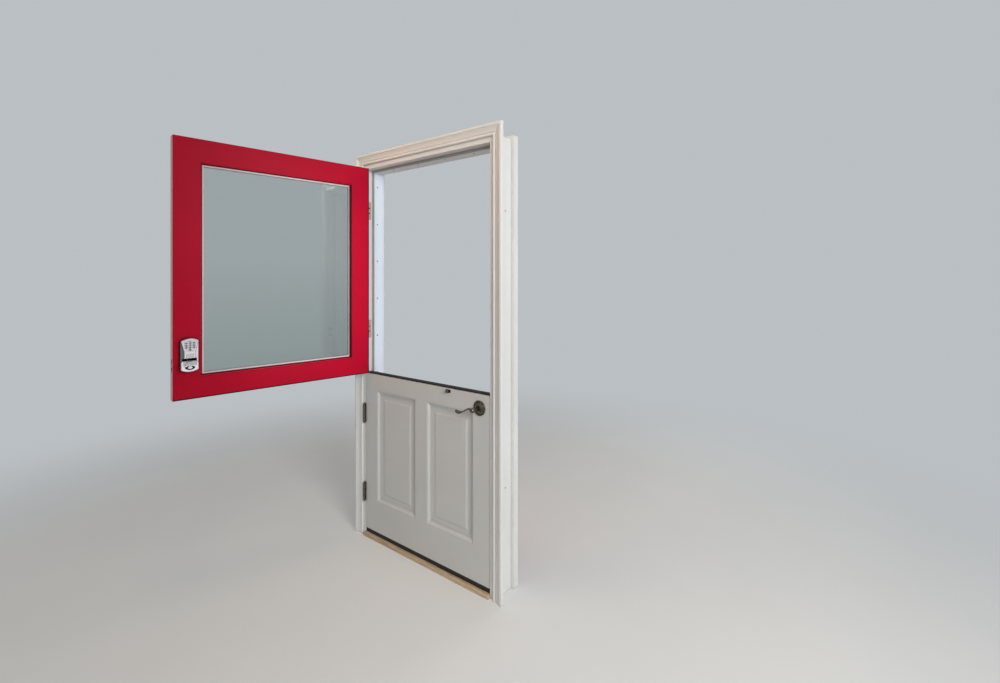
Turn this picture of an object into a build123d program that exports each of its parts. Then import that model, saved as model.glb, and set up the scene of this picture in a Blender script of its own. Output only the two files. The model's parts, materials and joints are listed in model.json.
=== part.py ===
from build123d import *
import os
from math import hypot

# A dutch stable door in its frame: a lower leaf of two raised panels and an upper leaf
# of one pane, on the same hinge line, each free to swing into the room by itself.
# X runs from the hinge side to the lock side, with 0 in the middle of the opening.
# Y runs from the room to the outside, with 0 at the wall face and the leaves' inner faces.
# Z runs up from the floor, and 0 is the underside of the threshold.
# The leaves are built shut. The upper leaf and all it carries are swung open at the end.

os.makedirs("parts", exist_ok=True)

# Leaves
leaf_width = 914.0
leaf_thickness = 44.5
lower_height = 875.0
upper_height = 1147.0
open_angle = 98.56

# Gaps round the leaves
side_gap = 3.0
head_gap = 4.0
meeting_gap = 10.0
under_gap = 25.0
running_gap = 0.3
fit_gap = 0.15

# Frame
jamb_depth = 116.0
jamb_thickness = 32.0
rebate_depth = 51.0
stop_height = 13.0
kerf_width = 2.8
kerf_depth = 8.0
kerf_inset = 6.5
fixing_radius = 4.0
fixing_rows = (1, 7)

# Threshold
sill_thickness = 17.5
sill_nose = 16.0
sill_nose_radius = 3.5
sill_slope_start = 58.0
sill_outer_end = 160.0
sill_outer_thickness = 7.0

# Inner casing and outer trim
casing_width = 57.0
casing_thickness = 17.0
casing_side_reveal = 20.0
casing_head_reveal = 24.0
trim_width = 50.0
trim_thickness = 30.0
trim_reveal = 0.0
mitre_gap = 0.2

# Weather seals
strip_reach = 13.0
strip_fin = 2.4
strip_fin_depth = 7.0
strip_radius = 2.0
meeting_seal_width = 26.0
meeting_seal_setback = 14.0
meeting_seal_base = 3.0
meeting_seal_inset = 4.0
sweep_setback = 3.0
sweep_plate = 4.0
sweep_fin = 3.0
sweep_inset = 2.0
seal_clearance = 0.5

# Lower leaf: stiles, rails, middle bar and raised panels
stile_width = 100.0
middle_width = 85.0
lower_top_rail_width = 85.0
lower_bottom_rail_width = 168.0
moulding_width = 22.0
moulding_depth = 9.5
moulding_step = 1.2
panel_depth = 12.0
groove_depth = 12.0
panel_float = 2.0
field_inset = 45.0
field_bevel = 11.0
field_rise = 3.0

# Upper leaf: the same stiles round one sealed glass unit
upper_top_rail_width = 100.0
upper_bottom_rail_width = 93.0
glazing_width = 11.0
glazing_depth = 9.5
bead_back = 2.0
bead_mitre_gap = 0.2
pane_thickness = 4.0
spacer_thickness = 12.0
spacer_width = 10.0
spacer_show = 4.0
pane_edge_gap = 2.0

# Hinges
hinge_height = 101.6
hinge_reach = 38.0
hinge_plate = 2.6
pin_offset = 8.0
pin_radius = 3.5
pin_clearance = 0.05
barrel_radius = 7.2
knuckle_count = 5
knuckle_clearance = 0.4
pin_tip_radius = 5.2
pin_tip_height = 6.0
lower_hinge_from_base = 206.0
lower_hinge_from_top = 224.0
upper_hinge_from_base = 241.0
upper_hinge_from_top = 229.0
hinge_screw_spots = ((11.0, -38.0), (27.0, -14.0), (27.0, 14.0), (11.0, 38.0))

# Screws
screw_head_radius = 4.4
screw_shank_radius = 1.8
screw_length = 24.0
stop_screw_setback = 72.0
stop_screw_spacing = 214.0
stop_screw_first = 255.0
head_screw_spacing = 200.0
dome_radius = 4.0
dome_height = 1.2

# Locks, both at one backset
backset = 60.0
lever_drop = 61.5
turn_rise = 151.0
faceplate_width = 25.4
faceplate_height = 57.2
faceplate_thickness = 3.0
faceplate_screw = 22.5
strike_width = 28.6
strike_thickness = 2.0
bolt_clearance = 0.25
case_wall = 3.0
case_length = 46.0
pocket_clearance = 0.5
bore_radius = 7.0
bolt_setback = 0.5

latch_width = 12.5
latch_height = 17.0
latch_length = 40.0
latch_throw = 11.5
latch_nose = 3.0
deadbolt_width = 14.0
deadbolt_height = 22.0
deadbolt_length = 48.0
deadbolt_throw = 25.0
strike_room = 3.0

# Lever and its roses
rose_radius = 35.5
rose_rim = 2.0
rose_shoulder_radius = 28.5
rose_shoulder = 4.8
rose_groove = 2.4
rose_collar_radius = 13.0
rose_collar_base = 9.0
rose_height = 12.0
shank_radius = 8.0
hub_radius = 11.5
hub_base = 44.0
hub_height = 61.0
lever_plane = 52.0
spindle_width = 8.0
spindle_socket = 24.0
# Each station of the lever: along, up, height and depth of the section
lever_stations = (
    (4.0, -2.0, 14.0, 13.0),
    (-7.0, 1.5, 13.0, 12.0),
    (-19.0, 4.0, 9.5, 10.5),
    (-36.0, -2.5, 7.0, 8.5),
    (-54.0, -12.5, 6.5, 7.5),
    (-67.0, -18.0, 8.0, 7.0),
    (-77.0, -20.5, 12.5, 6.5),
    (-87.0, -20.5, 17.0, 5.5),
    (-97.0, -19.5, 17.5, 5.0),
    (-103.0, -18.5, 12.0, 4.5),
    (-106.0, -18.0, 4.5, 3.5),
)

# Keypad lock on the outer face, from its turning axis
pad_top = 117.0
pad_corner = 107.0
pad_waist = 58.0
pad_bottom = 30.0
pad_wide = 33.5
pad_narrow = 20.5
pad_gap = 10.0
pad_inset = 1.0
guard_shoulder = 11.0
guard_shoulder_half = 27.0
guard_low_corner = -19.0
guard_bottom = -29.0
pad_base = 10.0
slot_half = 25.0
slot_height = 7.0
slot_depth = 8.0
pad_thickness = 22.0
pad_round = 2.5
key_width = 10.5
key_height = 7.0
key_round = 1.8
key_proud = 1.3
key_travel = 1.0
key_well = 4.0
key_clearance = 0.25
key_column = 14.5
key_row = 9.8
key_first_row = 97.0
wake_height = 105.5
wake_width = 13.0
wake_tall = 4.5
cylinder_radius = 19.0
cylinder_proud = 4.0
plug_radius = 6.5
plug_clearance = 0.1
plug_length = 18.0
plug_proud = 0.8
keyway_width = 1.6
keyway_height = 9.0
keyway_depth = 8.0

# Inner housing and thumb turn
turn_house_width = 66.0
turn_house_low = -30.0
turn_house_high = 114.0
turn_house_thickness = 24.0
turn_house_round = 12.0
turn_house_edge = 3.0
turn_shaft_radius = 6.0
turn_disc_radius = 15.0
turn_disc_thickness = 3.0
turn_grip_length = 36.0
turn_grip_width = 8.0
turn_grip_height = 15.0
turn_grip_round = 3.0
blade_width = 6.0
blade_thickness = 2.4

# Surface bolt on the upper leaf's bottom rail and its keeper
slide_from_hinge = 652.0
slide_plate_low = 4.0
slide_plate_high = 86.0
slide_plate_width = 28.0
slide_plate_thickness = 2.5
slide_plate_round = 4.0
guide_height = 9.0
guide_low = 7.0
guide_high = 60.0
guide_half = 9.0
rod_radius = 4.5
rod_offset = 9.0
rod_clearance = 0.3
rod_low = 3.0
rod_high = 91.0
rod_travel = 22.0
knob_height = 51.0
knob_radius = 5.0
knob_length = 13.0
keeper_drop = 17.0
keeper_tall = 14.0
keeper_width = 31.0
keeper_bore = 5.4

# Places that follow from the sizes
hinge_edge = -leaf_width / 2
lock_edge = leaf_width / 2
opening_half = leaf_width / 2 + side_gap
lower_base = sill_thickness + under_gap
lower_top = lower_base + lower_height
upper_base = lower_top + meeting_gap
upper_top = upper_base + upper_height
head_face = upper_top + head_gap
frame_top = head_face + jamb_thickness
mid_thickness = leaf_thickness / 2
pin_x = hinge_edge - side_gap / 2
pin_y = -pin_offset
lock_axis_x = lock_edge - backset
lever_z = lower_top - lever_drop
turn_z = upper_base + turn_rise
slide_x = hinge_edge + slide_from_hinge
casing_side_edge = opening_half + casing_side_reveal
casing_head_edge = head_face + casing_head_reveal
casing_top = casing_head_edge + casing_width
unit_thickness = 2 * pane_thickness + spacer_thickness
unit_inner_face = mid_thickness - unit_thickness / 2
unit_outer_face = mid_thickness + unit_thickness / 2
over = 1.0


def span(x0, y0, x1, y1, mode=Mode.ADD):
    """A rectangle given by two opposite corners."""
    with Locations(((x0 + x1) / 2, (y0 + y1) / 2)):
        Rectangle(abs(x1 - x0), abs(y1 - y0), mode=mode)


def block(x0, x1, y0, y1, z0, z1, mode=Mode.ADD):
    """A box given by its limits, for a pocket or a plain bar."""
    with Locations(((x0 + x1) / 2, (y0 + y1) / 2, (z0 + z1) / 2)):
        Box(abs(x1 - x0), abs(y1 - y0), abs(z1 - z0), mode=mode)


def along_x(x_end):
    """A plane across X, with its own x up and its own y to the outside."""
    return Plane(origin=(x_end, 0, 0), x_dir=(0, 0, 1), z_dir=(-1, 0, 0))


def grouped(builders):
    """Like pieces of one kind, kept as separate solids in one node."""
    with BuildPart() as group:
        for builder in builders:
            add(builder.part)
    return group


def inner_face(x, z, proud=0.0):
    """A plane on the leaves' inner face, looking into the room."""
    return Plane(origin=(x, -proud, z), x_dir=(1, 0, 0), z_dir=(0, -1, 0))


def outer_face(x, z, proud=0.0):
    """A plane on the leaves' outer face, looking to the outside."""
    return Plane(origin=(x, leaf_thickness + proud, z), x_dir=(-1, 0, 0), z_dir=(0, 1, 0))


def seat(point, outward):
    """The place of a screw: its head's top at the point, facing outward."""
    return Plane(origin=point, z_dir=outward).location


def hinge_seats(mids, x, outward):
    """The screws of the hinge plates at a face x."""
    return [
        seat((x, setback, mid + offset), (outward, 0, 0))
        for mid in mids
        for setback, offset in hinge_screw_spots
    ]


def plate_seats(mids, x, outward):
    """The two screws of each faceplate or strike plate at a face x."""
    return [
        seat((x, mid_thickness, mid + offset), (outward, 0, 0))
        for mid in mids
        for offset in (-faceplate_screw, faceplate_screw)
    ]


def bore_for_screws(spots, length=screw_length):
    """Holes for the screws' shanks, in the wood."""
    with Locations(*spots):
        Cylinder(
            screw_shank_radius + fit_gap,
            length + over,
            align=(Align.CENTER, Align.CENTER, Align.MAX),
            mode=Mode.SUBTRACT,
        )


lower_hinge_mids = [lower_base + lower_hinge_from_base, lower_top - lower_hinge_from_top]
upper_hinge_mids = [upper_base + upper_hinge_from_base, upper_top - upper_hinge_from_top]
hinge_mids = lower_hinge_mids + upper_hinge_mids
frame_hinge_seats = hinge_seats(hinge_mids, -opening_half, 1)
strike_seats = plate_seats((lever_z, turn_z), opening_half, -1)
keeper_base = lower_top - keeper_drop
keeper_seats = [
    seat(
        (
            slide_x + side * (keeper_width / 2 - 3.2),
            -slide_plate_thickness,
            keeper_base + keeper_tall / 2,
        ),
        (0, -1, 0),
    )
    for side in (-1, 1)
]

# Threshold: a board with a rounded nose in the room and a weathered slope outside
with BuildPart() as threshold:
    with BuildSketch(Plane.YZ):
        with BuildLine():
            Polyline(
                (-sill_nose, sill_thickness - sill_nose_radius),
                (-sill_nose, 0),
                (sill_outer_end, 0),
                (sill_outer_end, sill_outer_thickness),
                (sill_slope_start, sill_thickness),
                (sill_nose_radius - sill_nose, sill_thickness),
            )
            RadiusArc(
                (-sill_nose, sill_thickness - sill_nose_radius),
                (sill_nose_radius - sill_nose, sill_thickness),
                sill_nose_radius,
            )
        make_face()
    extrude(amount=opening_half, both=True)


def jamb_section(face, sense):
    """A rebated jamb: face is the rebate's face, sense the way to the opening."""
    span(face - sense * jamb_thickness, 0, face, jamb_depth)
    span(face, rebate_depth, face + sense * stop_height, jamb_depth)
    kerf = face + sense * kerf_inset
    span(
        kerf - kerf_width / 2,
        rebate_depth,
        kerf + kerf_width / 2,
        rebate_depth + kerf_depth,
        mode=Mode.SUBTRACT,
    )


with BuildPart() as head_jamb:
    with BuildSketch(along_x(opening_half)):
        jamb_section(head_face, -1)
    extrude(amount=2 * opening_half)

stop_screws_side = int((head_face - sill_thickness - stop_screw_first) // stop_screw_spacing) + 1
stop_heights = [
    sill_thickness + stop_screw_first + i * stop_screw_spacing for i in range(stop_screws_side)
]
fixing_heights = [stop_heights[row] for row in fixing_rows]


def side_jamb(sense):
    """A side jamb, coped round the head jamb's stop and standing on the threshold."""
    face = -sense * opening_half
    with BuildPart() as jamb:
        with BuildSketch(Plane.XY):
            jamb_section(face, sense)
        extrude(amount=frame_top)
        block(
            -opening_half,
            opening_half,
            -over,
            jamb_depth + over,
            head_face,
            frame_top + over,
            mode=Mode.SUBTRACT,
        )
        block(
            -opening_half,
            opening_half,
            rebate_depth,
            jamb_depth + over,
            head_face - stop_height,
            frame_top + over,
            mode=Mode.SUBTRACT,
        )
        add(threshold.part, mode=Mode.SUBTRACT)
        for height in fixing_heights:
            with Locations(Location((face, stop_screw_setback, height), (0, 90, 0))):
                Cylinder(fixing_radius, 4 * jamb_thickness, mode=Mode.SUBTRACT)
    return jamb


hinge_jamb_blank = side_jamb(1)
with BuildPart() as hinge_jamb:
    add(hinge_jamb_blank.part)
    for mid in hinge_mids:
        block(
            -opening_half - hinge_plate,
            -opening_half + over,
            -over,
            hinge_reach,
            mid - hinge_height / 2,
            mid + hinge_height / 2,
            mode=Mode.SUBTRACT,
        )
    bore_for_screws(frame_hinge_seats)

# Strike jamb, let in for each strike plate and bored out behind it for the bolt
strikes = {
    "latch": (lever_z, latch_width, latch_height, latch_throw),
    "deadbolt": (turn_z, deadbolt_width, deadbolt_height, deadbolt_throw),
}
strike_jamb_blank = side_jamb(-1)
with BuildPart() as strike_jamb:
    add(strike_jamb_blank.part)
    for mid, bolt_width, bolt_height, throw in strikes.values():
        block(
            opening_half - over,
            opening_half + strike_thickness,
            mid_thickness - strike_width / 2,
            mid_thickness + strike_width / 2,
            mid - faceplate_height / 2,
            mid + faceplate_height / 2,
            mode=Mode.SUBTRACT,
        )
        half_width = bolt_width / 2 + strike_room / 2
        half_height = bolt_height / 2 + strike_room / 2
        block(
            opening_half,
            lock_edge + throw + strike_room,
            mid_thickness - half_width,
            mid_thickness + half_width,
            mid - half_height,
            mid + half_height,
            mode=Mode.SUBTRACT,
        )
    bore_for_screws(strike_seats)


def casing_section(edge, sense):
    """The inner casing: a bead, a quirk, a hollow and a flat outer band."""

    def at(out, height):
        return (edge + sense * out, -height)

    with BuildLine() as outline:
        Line(at(0, 0), at(0, 5.5))
        ThreePointArc(at(0, 5.5), at(5.5, 9.6), at(13, 7.4))
        Line(at(13, 7.4), at(15, 6.0))
        Line(at(15, 6.0), at(17.5, 8.4))
        ThreePointArc(at(17.5, 8.4), at(30, 10.2), at(41, 14.6))
        Line(at(41, 14.6), at(43.5, 14.6))
        Line(at(43.5, 14.6), at(44.5, casing_thickness))
        Line(at(44.5, casing_thickness), at(casing_width - 3, casing_thickness))
        ThreePointArc(
            at(casing_width - 3, casing_thickness),
            at(casing_width - 0.9, casing_thickness - 0.9),
            at(casing_width, casing_thickness - 3),
        )
        Line(at(casing_width, casing_thickness - 3), at(casing_width, 0))
        Line(at(casing_width, 0), at(0, 0))
    make_face(outline.edges())



def trim_section(edge, sense):
    """The outer trim: a thin nose, a hollow and a thick flat band."""

    def at(out, height):
        return (edge + sense * out, jamb_depth + height)

    with BuildLine() as outline:
        Line(at(0, 0), at(0, 13))
        ThreePointArc(at(0, 13), at(2, 16), at(5, 17))
        Line(at(5, 17), at(8, 17))
        ThreePointArc(at(8, 17), at(12, 25), at(20, 28))
        Line(at(20, 28), at(22, trim_thickness))
        Line(at(22, trim_thickness), at(trim_width, trim_thickness))
        Line(at(trim_width, trim_thickness), at(trim_width, 0))
        Line(at(trim_width, 0), at(0, 0))
    make_face(outline.edges())



def trim_leg(section, side_edge, head_edge, width, sense):
    """An upright of a mitred surround."""
    mitre = Plane(origin=(sense * side_edge, 0, head_edge), z_dir=(-sense, 0, 1))
    with BuildPart() as leg:
        with BuildSketch(Plane.XY):
            section(sense * side_edge, sense)
        extrude(amount=head_edge + width)
        split(bisect_by=mitre.offset(-mitre_gap), keep=Keep.BOTTOM)
    return leg


def trim_head(section, side_edge, head_edge, width):
    """The head of a mitred surround."""
    with BuildPart() as head:
        with BuildSketch(along_x(side_edge + width)):
            section(head_edge, 1)
        extrude(amount=2 * (side_edge + width))
        for sense in (-1, 1):
            mitre = Plane(origin=(sense * side_edge, 0, head_edge), z_dir=(-sense, 0, 1))
            split(bisect_by=mitre, keep=Keep.TOP)
    return head


casing_left = trim_leg(casing_section, casing_side_edge, casing_head_edge, casing_width, -1)
casing_right = trim_leg(casing_section, casing_side_edge, casing_head_edge, casing_width, 1)
casing_head = trim_head(casing_section, casing_side_edge, casing_head_edge, casing_width)

trim_side_edge = opening_half + trim_reveal
trim_head_edge = head_face + trim_reveal
outer_trim = grouped(
    [
        trim_leg(trim_section, trim_side_edge, trim_head_edge, trim_width, -1),
        trim_leg(trim_section, trim_side_edge, trim_head_edge, trim_width, 1),
        trim_head(trim_section, trim_side_edge, trim_head_edge, trim_width),
    ]
)


def strip_section(face, sense):
    """A weather strip on a jamb's stop, at the thickness it has on a shut leaf."""
    span(
        face,
        leaf_thickness + running_gap,
        face + sense * strip_reach,
        rebate_depth,
    )
    fillet(vertices().group_by(Axis.Y)[0], strip_radius)


def fin_section(face, sense):
    """The fin that holds a weather strip in its kerf."""
    kerf = face + sense * kerf_inset
    span(
        kerf - strip_fin / 2,
        rebate_depth - fit_gap,
        kerf + strip_fin / 2,
        rebate_depth + strip_fin_depth,
    )


def side_strip(sense):
    """The weather strip of one side jamb, from the threshold to the head jamb."""
    with BuildPart() as strip:
        with BuildSketch(Plane.XY.offset(sill_thickness)):
            strip_section(-sense * opening_half, sense)
        extrude(amount=head_face - sill_thickness)
        with BuildSketch(Plane.XY.offset(sill_thickness)):
            fin_section(-sense * opening_half, sense)
        extrude(amount=head_face - stop_height - sill_thickness)
    return strip


with BuildPart() as head_strip:
    head_strip_half = opening_half - stop_height - mitre_gap
    with BuildSketch(along_x(head_strip_half)):
        strip_section(head_face, -1)
        fin_section(head_face, -1)
    extrude(amount=2 * head_strip_half)
weatherstrips = grouped([side_strip(1), side_strip(-1), head_strip])


def strike_plate(mid, bolt_width, bolt_height):
    """A strike plate let in flush with the jamb, with an opening for its bolt."""
    with BuildPart() as plate:
        block(
            opening_half,
            opening_half + strike_thickness,
            mid_thickness - strike_width / 2,
            mid_thickness + strike_width / 2,
            mid - faceplate_height / 2,
            mid + faceplate_height / 2,
        )
        block(
            opening_half - over,
            opening_half + strike_thickness + over,
            mid_thickness - bolt_width / 2 - strike_room / 2,
            mid_thickness + bolt_width / 2 + strike_room / 2,
            mid - bolt_height / 2 - strike_room / 2,
            mid + bolt_height / 2 + strike_room / 2,
            mode=Mode.SUBTRACT,
        )
        with Locations(*plate_seats((mid,), opening_half, -1)):
            screw_seat(strike_thickness)
    return plate


def screw_seat(thickness):
    """The countersink that a screw's head fills in a plate."""
    Cone(
        screw_shank_radius,
        screw_head_radius,
        thickness,
        align=(Align.CENTER, Align.CENTER, Align.MAX),
        mode=Mode.SUBTRACT,
    )


def screw(thickness):
    """A countersunk screw: a cone as deep as the plate that it holds, and a shank."""
    Cone(
        screw_shank_radius,
        screw_head_radius,
        thickness,
        align=(Align.CENTER, Align.CENTER, Align.MAX),
    )
    Cylinder(
        screw_shank_radius,
        screw_length,
        align=(Align.CENTER, Align.CENTER, Align.MAX),
    )


strike_plates = grouped(
    [
        strike_plate(lever_z, latch_width, latch_height),
        strike_plate(turn_z, deadbolt_width, deadbolt_height),
    ]
)


def knuckle_zones(mid, first):
    """The height spans of every other knuckle, counted from the bottom."""
    pitch = hinge_height / knuckle_count
    base = mid - hinge_height / 2
    return [(base + i * pitch, base + (i + 1) * pitch) for i in range(first, knuckle_count, 2)]


def hinge_leaf(mid, plate_x, inward, first):
    """One leaf of a butt hinge: a plate let into the wood and its own knuckles.

    plate_x is the plate's face on the gap, inward the way into the wood, and first
    the lowest knuckle that this leaf carries."""
    low = mid - hinge_height / 2
    with BuildPart() as leaf:
        block(
            plate_x,
            plate_x + inward * hinge_plate,
            pin_y,
            hinge_reach,
            low,
            low + hinge_height,
        )
        with Locations((pin_x, pin_y, mid)):
            Cylinder(barrel_radius, hinge_height)
        for zone_low, zone_high in knuckle_zones(mid, 1 - first):
            bottom = zone_low - (knuckle_clearance / 2 if zone_low > low else over)
            top = zone_high + (knuckle_clearance / 2 if zone_high < low + hinge_height - over else over)
            with Locations((pin_x, pin_y, (bottom + top) / 2)):
                Cylinder(barrel_radius + knuckle_clearance, top - bottom, mode=Mode.SUBTRACT)
        with Locations((pin_x, pin_y, mid)):
            Cylinder(pin_radius + pin_clearance, hinge_height + 2 * over, mode=Mode.SUBTRACT)
        with Locations(*hinge_seats((mid,), plate_x, -inward)):
            screw_seat(hinge_plate)
    return leaf


hinge_jamb_leaves = grouped([hinge_leaf(mid, -opening_half, -1, 0) for mid in hinge_mids])
lower_hinge_leaves = grouped([hinge_leaf(mid, hinge_edge, 1, 1) for mid in lower_hinge_mids])
upper_hinge_leaves = grouped([hinge_leaf(mid, hinge_edge, 1, 1) for mid in upper_hinge_mids])

# Hinge pins: a shank through the knuckles with a turned tip at each end
with BuildPart() as hinge_pins:
    for mid in hinge_mids:
        half = hinge_height / 2 + knuckle_clearance / 2
        with BuildSketch(Plane(origin=(pin_x, pin_y, mid), x_dir=(1, 0, 0), z_dir=(0, -1, 0))):
            with BuildLine():
                Polyline(
                    (pin_radius, 0),
                    (pin_radius, half),
                    (pin_tip_radius, half),
                    (pin_tip_radius, half + pin_tip_height * 0.3),
                    (pin_tip_radius * 0.8, half + pin_tip_height * 0.7),
                    (pin_tip_radius * 0.45, half + pin_tip_height),
                    (0, half + pin_tip_height),
                )
                mirror(about=Plane.XZ)
                Line((0, half + pin_tip_height), (0, -half - pin_tip_height))
            make_face()
        revolve(axis=Axis((pin_x, pin_y, mid), (0, 0, 1)))

# Screws of the frame: hinge plates, strike plates and the row of dome heads in the stops
stop_screws_head = int((2 * opening_half - head_screw_spacing / 2) // head_screw_spacing)
with BuildPart() as frame_screws:
    with Locations(*frame_hinge_seats):
        screw(hinge_plate)
    with Locations(*strike_seats):
        screw(strike_thickness)
    spots = []
    for sense in (-1, 1):
        x = sense * (opening_half - stop_height)
        for height in stop_heights:
            if height not in fixing_heights:
                spots.append(seat((x, stop_screw_setback, height), (-sense, 0, 0)))
    first = -(stop_screws_head - 1) * head_screw_spacing / 2
    for i in range(stop_screws_head):
        place = (first + i * head_screw_spacing, stop_screw_setback, head_face - stop_height)
        spots.append(seat(place, (0, 0, -1)))
    with Locations(*spots):
        Cone(
            dome_radius,
            dome_radius * 0.55,
            dome_height,
            align=(Align.CENTER, Align.CENTER, Align.MIN),
        )


def ogee_waste(flat, sense, face, inward):
    """Cuts a panel moulding along one arris: a bead, a break and a hollow."""

    def at(out, depth):
        return (flat + sense * out, face + inward * depth)

    with BuildLine() as outline:
        Line(at(0, -over), at(0, moulding_step))
        ThreePointArc(at(0, moulding_step), at(6.2, 2.4), at(10, 5.6))
        Line(at(10, 5.6), at(11.5, 5.6))
        ThreePointArc(at(11.5, 5.6), at(14.6, 8.4), at(19, moulding_depth))
        Line(at(19, moulding_depth), at(moulding_width + over, moulding_depth))
        Line(at(moulding_width + over, moulding_depth), at(moulding_width + over, -over))
        Line(at(moulding_width + over, -over), at(0, -over))
    make_face(outline.edges(), mode=Mode.SUBTRACT)



def panelled_bar(plane, low, high, length, low_moulded, high_moulded):
    """A stile, rail or middle bar of the lower leaf, from its flat width's two limits."""
    with BuildPart() as bar:
        with BuildSketch(plane):
            span(
                low - moulding_width * low_moulded,
                0,
                high + moulding_width * high_moulded,
                leaf_thickness,
            )
            for flat, sense, moulded in ((low, -1, low_moulded), (high, 1, high_moulded)):
                if moulded:
                    ogee_waste(flat, sense, 0, 1)
                    ogee_waste(flat, sense, leaf_thickness, -1)
                    span(
                        flat + sense * (moulding_width - groove_depth),
                        panel_depth,
                        flat + sense * (moulding_width + over),
                        leaf_thickness - panel_depth,
                        mode=Mode.SUBTRACT,
                    )
        extrude(amount=length)
    return bar


def coped(blank, others):
    """A member cut to fit over the mouldings of those it meets."""
    with BuildPart() as cut:
        add(blank.part)
        for other in others:
            add(other.part, mode=Mode.SUBTRACT)
    with BuildPart() as member:
        add(cut.part.solids().sort_by(SortBy.VOLUME)[-1])
    return member


def let_in_hinges(blank, mids):
    """A hinge stile with a shallow housing for each hinge plate."""
    with BuildPart() as stile:
        add(blank.part)
        for mid in mids:
            block(
                hinge_edge - over,
                hinge_edge + hinge_plate,
                -over,
                hinge_reach,
                mid - hinge_height / 2,
                mid + hinge_height / 2,
                mode=Mode.SUBTRACT,
            )
        bore_for_screws(hinge_seats(mids, hinge_edge, -1))
    return stile


def bored_for_lock(blank, mid, bolt_width, bolt_height, bolt_length):
    """A lock stile let in for a bolt's case and faceplate and bored for its turning bar."""
    half_width = bolt_width / 2 + case_wall + pocket_clearance
    half_height = bolt_height / 2 + case_wall + pocket_clearance
    with BuildPart() as stile:
        add(blank.part)
        block(
            lock_edge - faceplate_thickness,
            lock_edge + over,
            mid_thickness - faceplate_width / 2,
            mid_thickness + faceplate_width / 2,
            mid - faceplate_height / 2,
            mid + faceplate_height / 2,
            mode=Mode.SUBTRACT,
        )
        block(
            min(lock_axis_x - bore_radius, lock_edge - bolt_length - over),
            lock_edge,
            mid_thickness - half_width,
            mid_thickness + half_width,
            mid - half_height,
            mid + half_height,
            mode=Mode.SUBTRACT,
        )
        with Locations(Location((lock_axis_x, mid_thickness, mid), (90, 0, 0))):
            Cylinder(bore_radius, leaf_thickness + 2 * over, mode=Mode.SUBTRACT)
        bore_for_screws(plate_seats((mid,), lock_edge, 1))
    return stile


# Lower leaf
flat_left = hinge_edge + stile_width
flat_right = lock_edge - stile_width
panel_sight = (leaf_width - 2 * stile_width - middle_width) / 2
lower_plane = Plane.XY.offset(lower_base)
hinge_stile_blank = panelled_bar(lower_plane, hinge_edge, flat_left, lower_height, False, True)
lower_hinge_stile = let_in_hinges(hinge_stile_blank, lower_hinge_mids)
lock_stile_blank = panelled_bar(lower_plane, flat_right, lock_edge, lower_height, True, False)
lower_lock_stile = bored_for_lock(
    lock_stile_blank, lever_z, latch_width, latch_height, latch_length
)

rail_length = flat_right - flat_left
bottom_rail_top = lower_base + lower_bottom_rail_width
top_rail_base = lower_top - lower_top_rail_width
lower_stiles = (hinge_stile_blank, lock_stile_blank)
lower_bottom_rail = coped(
    panelled_bar(along_x(flat_right), lower_base, bottom_rail_top, rail_length, False, True),
    lower_stiles,
)
top_rail_blank = coped(
    panelled_bar(along_x(flat_right), top_rail_base, lower_top, rail_length, True, False),
    lower_stiles,
)
with BuildPart() as lower_top_rail:
    add(top_rail_blank.part)
    bore_for_screws(keeper_seats, screw_length / 2)
middle_plane = Plane.XY.offset(bottom_rail_top)
lower_middle_bar = coped(
    panelled_bar(
        middle_plane,
        -middle_width / 2,
        middle_width / 2,
        top_rail_base - bottom_rail_top,
        True,
        True,
    ),
    (lower_bottom_rail, top_rail_blank),
)


def raised_panel(left):
    """A panel held in the grooves, with a bevelled field raised on both faces."""
    groove_floor = moulding_width - groove_depth + panel_float
    width = panel_sight - 2 * groove_floor
    height = top_rail_base - bottom_rail_top - 2 * groove_floor
    middle = (left + panel_sight / 2, mid_thickness, (top_rail_base + bottom_rail_top) / 2)
    half = mid_thickness - panel_depth - fit_gap
    outline = (panel_sight - 2 * field_inset, top_rail_base - bottom_rail_top - 2 * field_inset)
    with BuildPart() as panel:
        with Locations(middle):
            Box(width, 2 * half, height)
        for outward in (-1, 1):
            base = Plane(
                origin=(middle[0], middle[1] + outward * half, middle[2]),
                x_dir=(1, 0, 0),
                z_dir=(0, outward, 0),
            )
            with BuildSketch(base):
                Rectangle(*outline)
            with BuildSketch(base.offset(field_rise)):
                Rectangle(outline[0] - 2 * field_bevel, outline[1] - 2 * field_bevel)
            loft()
    return panel


lower_panel_left = raised_panel(flat_left)
lower_panel_right = raised_panel(middle_width / 2)

# Meeting seal: two soft ridges on a base strip, along the lower leaf's top edge
with BuildPart() as meeting_seal:
    with BuildSketch(Plane.YZ):
        seal_end = meeting_seal_setback + meeting_seal_width
        seal_top = lower_top + meeting_gap - seal_clearance
        ridge = meeting_seal_width / 4
        span(meeting_seal_setback, lower_top, seal_end, lower_top + meeting_seal_base)
        for start in (meeting_seal_setback, meeting_seal_setback + 2 * ridge):
            span(start, lower_top, start + 2 * ridge, seal_top - ridge / 2)
            with BuildLine():
                Line((start, seal_top - ridge / 2), (start + 2 * ridge, seal_top - ridge / 2))
                ThreePointArc(
                    (start, seal_top - ridge / 2),
                    (start + ridge, seal_top),
                    (start + 2 * ridge, seal_top - ridge / 2),
                )
            make_face()
    extrude(amount=lock_edge - meeting_seal_inset, both=True)

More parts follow.
